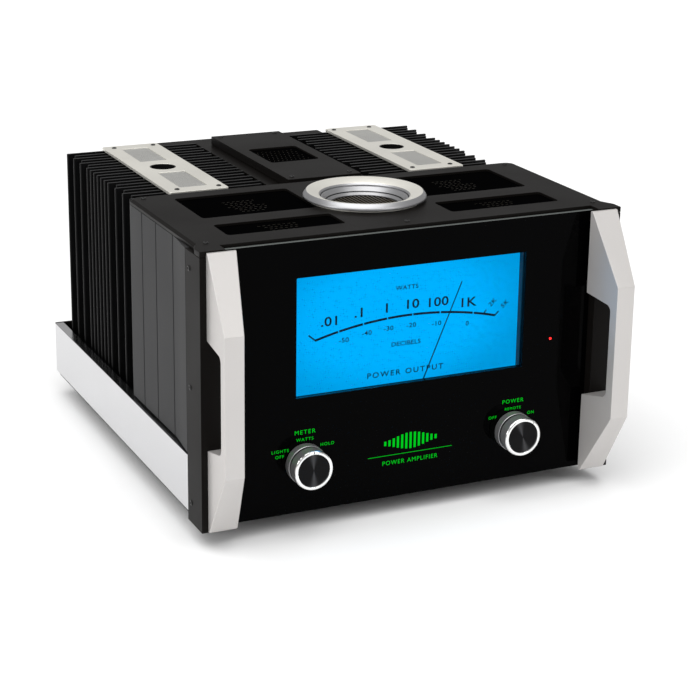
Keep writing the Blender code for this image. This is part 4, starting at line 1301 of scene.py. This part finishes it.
class AMPLIFIER_OT_centre_deck(AmplifierStep, bpy.types.Operator):
    """Deck between the heat sinks, its raised cover and the cover's window"""
    bl_idname = "amplifier.centre_deck"
    bl_label = "Centre Deck"

    def execute(self, context):
        edge = context.scene.amplifier_casing.edge
        softened_copy("centre_deck", "painted_deck", satin_paint(), edge * 0.6, FIXED, "black_paint")
        softened_copy("centre_cover", "painted_cover", satin_paint(), edge, FIXED, "black_paint")
        coat("cover_glass", window_glass())
        _, high = span("cover_glass")
        bm = bmesh.new()
        add_turned(bm, [(0.0, 0.0), (0.55, 0.0), (0.55, 0.03), (0.0, 0.03)], (0.0, 0.0, 0.0), sides=10)
        dot = helper("dot", bm)
        points = []
        first_row, row_pitch, dot_pitch = 308.0, 8.5, 5.0
        for row in range(7):
            for i in range(9 + row % 2):
                x = dot_pitch * (i - (8 + row % 2) / 2.0)
                points.append(((x, first_row + row_pitch * row, high.z + 0.02), (0.0, 0.0, 1.0)))
        settle(copies("cover_print", dot, points, gold_ink()), FIXED, "gold_plate")
        bpy.data.objects.remove(dot)
        return {"FINISHED"}


class AMPLIFIER_OT_rear_panel(AmplifierStep, bpy.types.Operator):
    """Back panel and the mains inlet in it"""
    bl_idname = "amplifier.rear_panel"
    bl_label = "Rear Panel"

    def execute(self, context):
        softened_copy("rear_panel", "painted_rear_panel", satin_paint(), 0.0003, FIXED, "black_paint")
        low, high = span("mains_inlet")
        centre = (low + high) / 2.0
        flange = high.y - 3.0
        bm = bmesh.new()
        add_prism(bm, rounded_rectangle((low.x, high.x), (low.z, high.z), 2.5), flange, high.y, lengthwise)
        inlet = to_piece("moulded_mains_inlet", bm, black_plastic())
        bm = bmesh.new()
        add_prism(bm, rounded_rectangle((centre.x - 14.2, centre.x + 14.2),
                                        (centre.z - 10.7, centre.z + 10.7), 2.0),
                  low.y, flange + 1.0, lengthwise)
        combine(inlet, bm, "UNION")
        bm = bmesh.new()
        add_prism(bm, [(centre.x - 12.2, centre.z - 8.7), (centre.x + 12.2, centre.z - 8.7),
                       (centre.x + 12.2, centre.z + 3.7), (centre.x + 7.2, centre.z + 8.7),
                       (centre.x - 7.2, centre.z + 8.7), (centre.x - 12.2, centre.z + 3.7)],
                  low.y + 4.0, high.y + 4.0, lengthwise)
        combine(inlet, bm, "DIFFERENCE")
        settle(soften(inlet, 0.0004, 2), FIXED, "black_plastic", "mains_inlet")
        bm = bmesh.new()
        for x in (-7.0, 0.0, 7.0):
            add_box(bm, (centre.x + x - 1.0, centre.x + x + 1.0), (low.y + 3.0, 476.0),
                    (centre.z - 3.0, centre.z + 3.0))
        settle(soften(to_piece("inlet_blades", bm, bright_silver()), 0.0004, 2), FIXED, "polished_steel")
        return {"FINISHED"}


class AMPLIFIER_OT_sockets(AmplifierStep, bpy.types.Operator):
    """Balanced socket, phono socket and the input toggle"""
    bl_idname = "amplifier.sockets"
    bl_label = "Input Sockets"

    def execute(self, context):
        low, high = span("xlr_socket")
        centre, back, face = (low + high) / 2.0, low.y, high.y
        profile = [(0.0, back), (11.4, back), (11.4, face - 2.5), (13.2, face - 2.5), (13.5, face - 2.1),
                   (13.5, face - 0.4), (13.1, face), (10.5, face), (10.2, face - 0.3), (10.2, 470.0),
                   (8.0, 470.0),
                   (8.0, face - 1.4), (7.6, face - 1.0), (0.0, face - 1.0)]
        bm = bmesh.new()
        add_turned(bm, profile, centre, "d", 64)
        socket = to_piece("balanced_socket", bm, black_plastic())
        bm = bmesh.new()
        for angle in (90.0, 210.0, 330.0):
            x = centre.x + 4.4 * math.cos(math.radians(angle))
            h = centre.z + 4.4 * math.sin(math.radians(angle))
            add_turned(bm, [(0.0, face - 9.0), (1.3, face - 9.0), (1.3, face + 2.0), (0.0, face + 2.0)],
                       (x, 0.0, h),
                       "d", 24)
        combine(socket, bm, "DIFFERENCE")
        settle(socket, FIXED, "black_plastic", "xlr_socket")
        low, high = span("rca_socket")
        centre, back, face = (low + high) / 2.0, low.y, high.y
        profile = [(0.0, back, 0), (5.0, back, 0), (5.0, 480.0, 0), (7.0, 480.0, 0), (7.0, 482.0, 0),
                   (4.2, 482.0, 0),
                   (4.2, face - 0.4, 0), (3.9, face, 0), (3.3, face, 0), (3.1, face - 0.3, 1),
                   (3.1, face - 1.2, 1),
                   (1.7, face - 1.2, 1), (1.7, face - 8.0, 1), (0.0, face - 8.0, 1)]
        turned_piece("phono_socket", profile, centre, [gold_plate(), capacitor_sleeve()], FIXED, "gold_plate",
                     ["rca_socket"], "d", 48)
        low, high = span("toggle_bushing")
        centre, back, face = (low + high) / 2.0, low.y, high.y
        profile = [(0.0, back), (6.0, back), (6.0, 480.0), (8.0, 480.0), (8.0, 482.4), (6.4, 482.6),
                   (6.4, face - 0.4),
                   (6.1, face), (5.2, face), (5.0, face - 0.2), (5.0, 472.0), (0.0, 472.0)]
        turned_piece("toggle_collar", profile, centre, [bright_silver()], FIXED, "polished_steel",
                     ["toggle_bushing"], "d", 48)
        softened_copy("toggle_lever", "chromed_toggle_lever", bright_silver(), 0.0003, "input_toggle",
                      "polished_steel")
        return {"FINISHED"}


class AMPLIFIER_OT_terminals(AmplifierStep, bpy.types.Operator):
    """Terminal block with gold posts and ribbed nuts"""
    bl_idname = "amplifier.terminals"
    bl_label = "Speaker Terminals"

    def execute(self, context):
        low, high = span("terminal_block")
        face, tip = low.y + 9.0, high.y
        bm = bmesh.new()
        add_prism(bm, rounded_rectangle((low.x, high.x), (low.z, high.z), 4.0), low.y, face, lengthwise)
        settle(soften(to_piece("moulded_terminal_block", bm, black_plastic()), 0.0008, 3), FIXED,
               "black_plastic",
               "terminal_block")
        bm = bmesh.new()
        add_box(bm, (-0.28, 0.28), (-7.0, 7.0), (-0.4, 0.4))
        rib = helper("rib", bm)
        ribs = context.scene.amplifier_rear.ribs
        for i in range(1, 5):
            nut_low, nut_high = span(f"terminal_nut_{i}")
            centre, front, back = (nut_low + nut_high) / 2.0, nut_low.y, nut_high.y
            radius = (nut_high.x - nut_low.x) / 2.0
            post = [(0.0, face + 0.1), (9.0, face + 0.1), (9.0, face + 2.6), (8.6, face + 3.0),
                    (4.6, face + 3.0),
                    (4.6, tip - 6.0), (7.6, tip - 6.0), (7.6, tip - 1.0), (6.6, tip), (2.2, tip),
                    (2.2, tip - 8.0),
                    (0.0, tip - 8.0)]
            turned_piece(f"gold_post_{i}", post, centre, [gold_plate()], FIXED, "gold_plate", axis="d",
                         sides=48)
            core = radius - 0.5
            nut = [(4.9, front), (core - 0.8, front), (core, front + 0.8), (core, back - 4.0),
                   (core - 1.4, back - 0.6), (core - 2.0, back), (4.9, back)]
            turned_piece(f"gold_nut_{i}", nut, centre, [gold_plate()], f"terminal_nut_{i}", "gold_plate",
                         [f"terminal_nut_{i}"], "d", 64)
            points = []
            for k in range(ribs):
                angle = 2.0 * math.pi * k / ribs
                out = Vector((math.cos(angle), 0.0, math.sin(angle)))
                rise = core + 0.05
                spot = (centre.x + rise * out.x, (front + back) / 2.0 - 1.6, centre.z + rise * out.z)
                points.append((spot, out))
            settle(copies(f"nut_ribs_{i}", rib, points, gold_plate()), f"terminal_nut_{i}", "gold_plate")
        bpy.data.objects.remove(rib)
        return {"FINISHED"}


class AMPLIFIER_OT_screws(AmplifierStep, bpy.types.Operator):
    """Button-head screws in the casing"""
    bl_idname = "amplifier.screws"
    bl_label = "Screws"

    def execute(self, context):
        bm = bmesh.new()
        dome = [(0.0, 0.0), (2.7, 0.0), (2.7, 0.25)] + [(2.7 * math.cos(a), 0.25 + 0.95 * math.sin(a))
                                                       for a in (0.35, 0.75, 1.15)] + [(0.0, 1.2)]
        add_turned(bm, dome, (0.0, 0.0, 0.0), sides=20)
        head = helper("screw_head", bm, 50.0)
        bm = bmesh.new()
        add_turned(bm, [(0.0, 0.35), (1.35, 0.35), (1.35, 2.0), (0.0, 2.0)], (0.0, 0.0, 0.0), sides=6)
        recess = helper("screw_recess", bm)
        modifier = head.modifiers.new("Recess", "BOOLEAN")
        modifier.object = recess
        modifier.solver = "EXACT"
        bake(head)
        bpy.data.objects.remove(recess)
        up, back = (0.0, 0.0, 1.0), (0.0, 1.0, 0.0)
        top, lid = span("top_plate")[1].z, span("centre_cover")[1].z
        cover = span("duct_cover_right")[1].z
        side_x = span("end_plate_right")[1].x
        rear = span("rear_panel")[1].y
        groups = {"top_screws": [((x, d, top), up) for x, d in ((-206.0, 27.0), (206.0, 27.0), (0.0, 28.8),
                                                                (-205.0, 205.0), (205.0, 205.0))],
                  "lid_screws": [((x, d, lid), up) for x in (-33.0, 33.0) for d in (232.0, 438.0)],
                  "duct_screws": [((sign * x, d, cover), up) for sign in (-1.0, 1.0) for x in (111.5, 157.0)
                                  for d in (240.0, 445.5)],
                  "side_screws": [((sign * side_x, 28.0, h), (sign, 0.0, 0.0)) for sign in (-1.0, 1.0)
                                  for h in (252.6, 137.0, 20.8)],
                  "rear_screws": [((x, rear, h), back) for x in (-208.0, -110.0, 110.0,
                                                                 208.0) for h in (16.0, 58.0)]
                  + [((sign * 92.0, rear, h), back) for sign in (-1.0, 1.0) for h in (120.0, 250.0)]}
        for name, points in groups.items():
            settle(copies(name, head, points, screw_black(), 1.0), FIXED, "black_anodised")
        bpy.data.objects.remove(head)
        return {"FINISHED"}


class AMPLIFIER_OT_inner_parts(AmplifierStep, bpy.types.Operator):
    """Finishes of the parts inside the casing"""
    bl_idname = "amplifier.inner_parts"
    bl_label = "Inner Parts"

    def execute(self, context):
        for node, made in (("front_subpanel", satin_paint()), ("meter_switch", black_plastic()),
                           ("power_switch", black_plastic()), ("control_board", circuit_board()),
                           ("power_transformer", copper_winding()), ("output_autoformer", stacked_core()),
                           ("power_supply_board", circuit_board()), ("driver_board_left", circuit_board()),
                           ("driver_board_right", circuit_board())):
            coat(node, made)
        for i in range(1, 5):
            coat(f"filter_capacitor_{i}", capacitor_sleeve())
        return {"FINISHED"}


class AMPLIFIER_OT_stage(AmplifierStep, bpy.types.Operator):
    """Pale floor, soft lights and the camera"""
    bl_idname = "amplifier.stage"
    bl_label = "Stage"

    def soft_light(self, name, spot, target, size, power):
        """A square area light that faces a target."""
        lamp = bpy.data.lights.new(name, "AREA")
        lamp.size = size
        lamp.energy = power
        holder = bpy.data.objects.new(name, lamp)
        holder.location = spot
        holder.rotation_euler = (Vector(target) - Vector(spot)).to_track_quat("-Z", "Y").to_euler()
        bpy.context.scene.collection.objects.link(holder)

    def execute(self, context):
        settings = context.scene.amplifier_studio
        bm = bmesh.new()
        bmesh.ops.create_grid(bm, x_segments=1, y_segments=1, size=15.0)
        mesh = bpy.data.meshes.new("floor")
        bm.to_mesh(mesh)
        bm.free()
        mesh.materials.append(grained("pale_floor", tuple(settings.floor), 0.8, grain=(60.0, 60.0, 60.0),
                                      depth=0.0, mottle=0.004, Specular_IOR_Level=0.1))
        floor = bpy.data.objects.new("floor", mesh)
        context.scene.collection.objects.link(floor)

        world = bpy.data.worlds.new("studio")
        context.scene.world = world
        world.use_nodes = True
        background = world.node_tree.nodes["Background"]
        background.inputs["Color"].default_value = (1.0, 1.0, 1.0, 1.0)
        background.inputs["Strength"].default_value = settings.surround
        context.scene.view_settings.view_transform = "Standard"

        sun = bpy.data.lights.new("overhead", "SUN")
        sun.energy = settings.sun
        sun.angle = settings.sun_width
        high = bpy.data.objects.new("overhead", sun)
        high.rotation_euler = (math.radians(12.0), math.radians(-14.0), 0.0)
        context.scene.collection.objects.link(high)
        middle_of_part = (CAD_BOX[0] + CAD_BOX[1]) / 2.0
        self.soft_light("left_softbox", (-2.2, -0.4, 0.9), middle_of_part, 1.2, settings.softbox)
        self.soft_light("front_softbox", (0.9, -2.4, 1.5), middle_of_part, 1.0, settings.softbox)

        lens = bpy.data.cameras.new("camera")
        lens.sensor_width = 36.0
        lens.lens = settings.focal
        lens.shift_y = settings.shift
        lens.clip_end = 60.0
        camera = bpy.data.objects.new("camera", lens)
        turn = (Matrix.Rotation(-settings.heading, 4, "Z")
                @ Matrix.Rotation(math.pi / 2.0 - settings.dip, 4, "X")
                @ Matrix.Rotation(settings.roll, 4, "Z"))
        camera.matrix_world = Matrix.Translation(settings.view_from) @ turn
        context.scene.collection.objects.link(camera)
        context.scene.camera = camera
        return {"FINISHED"}


STEPS = (AMPLIFIER_OT_stage, AMPLIFIER_OT_end_plates, AMPLIFIER_OT_handles, AMPLIFIER_OT_front_glass,
         AMPLIFIER_OT_meter, AMPLIFIER_OT_legends, AMPLIFIER_OT_knobs, AMPLIFIER_OT_top_plate,
         AMPLIFIER_OT_top_windows, AMPLIFIER_OT_trim_ring, AMPLIFIER_OT_side_panels, AMPLIFIER_OT_chassis,
         AMPLIFIER_OT_feet, AMPLIFIER_OT_heat_sinks, AMPLIFIER_OT_duct_covers, AMPLIFIER_OT_centre_deck,
         AMPLIFIER_OT_rear_panel, AMPLIFIER_OT_sockets, AMPLIFIER_OT_terminals, AMPLIFIER_OT_screws,
         AMPLIFIER_OT_inner_parts)
SETTINGS = {"casing": CasingSettings, "front": FrontSettings, "meter": MeterSettings,
            "cooling": CoolingSettings,
            "rear": RearSettings, "studio": StudioSettings}


class AMPLIFIER_PT_panel(bpy.types.Panel):
    """Buttons for each piece and the settings behind them"""
    bl_label = "Power Amplifier"
    bl_idname = "AMPLIFIER_PT_panel"
    bl_space_type = "VIEW_3D"
    bl_region_type = "UI"
    bl_category = "Amplifier"

    def draw(self, context):
        for key, group in SETTINGS.items():
            box = self.layout.box()
            box.label(text=group.__doc__)
            for prop in group.__annotations__:
                box.prop(getattr(context.scene, "amplifier_" + key), prop)
        for step in STEPS:
            self.layout.operator(step.bl_idname)


def register():
    for group in SETTINGS.values():
        bpy.utils.register_class(group)
    for key, group in SETTINGS.items():
        setattr(bpy.types.Scene, "amplifier_" + key, PointerProperty(type=group))
    for step in STEPS:
        bpy.utils.register_class(step)
    bpy.utils.register_class(AMPLIFIER_PT_panel)


def unregister():
    bpy.utils.unregister_class(AMPLIFIER_PT_panel)
    for step in reversed(STEPS):
        bpy.utils.unregister_class(step)
    for key in SETTINGS:
        delattr(bpy.types.Scene, "amplifier_" + key)
    for group in SETTINGS.values():
        bpy.utils.unregister_class(group)


def main():
    register()
    for step in STEPS:
        area, action = step.bl_idname.split(".")
        getattr(getattr(bpy.ops, area), action)()


if __name__ == "__main__":
    main()
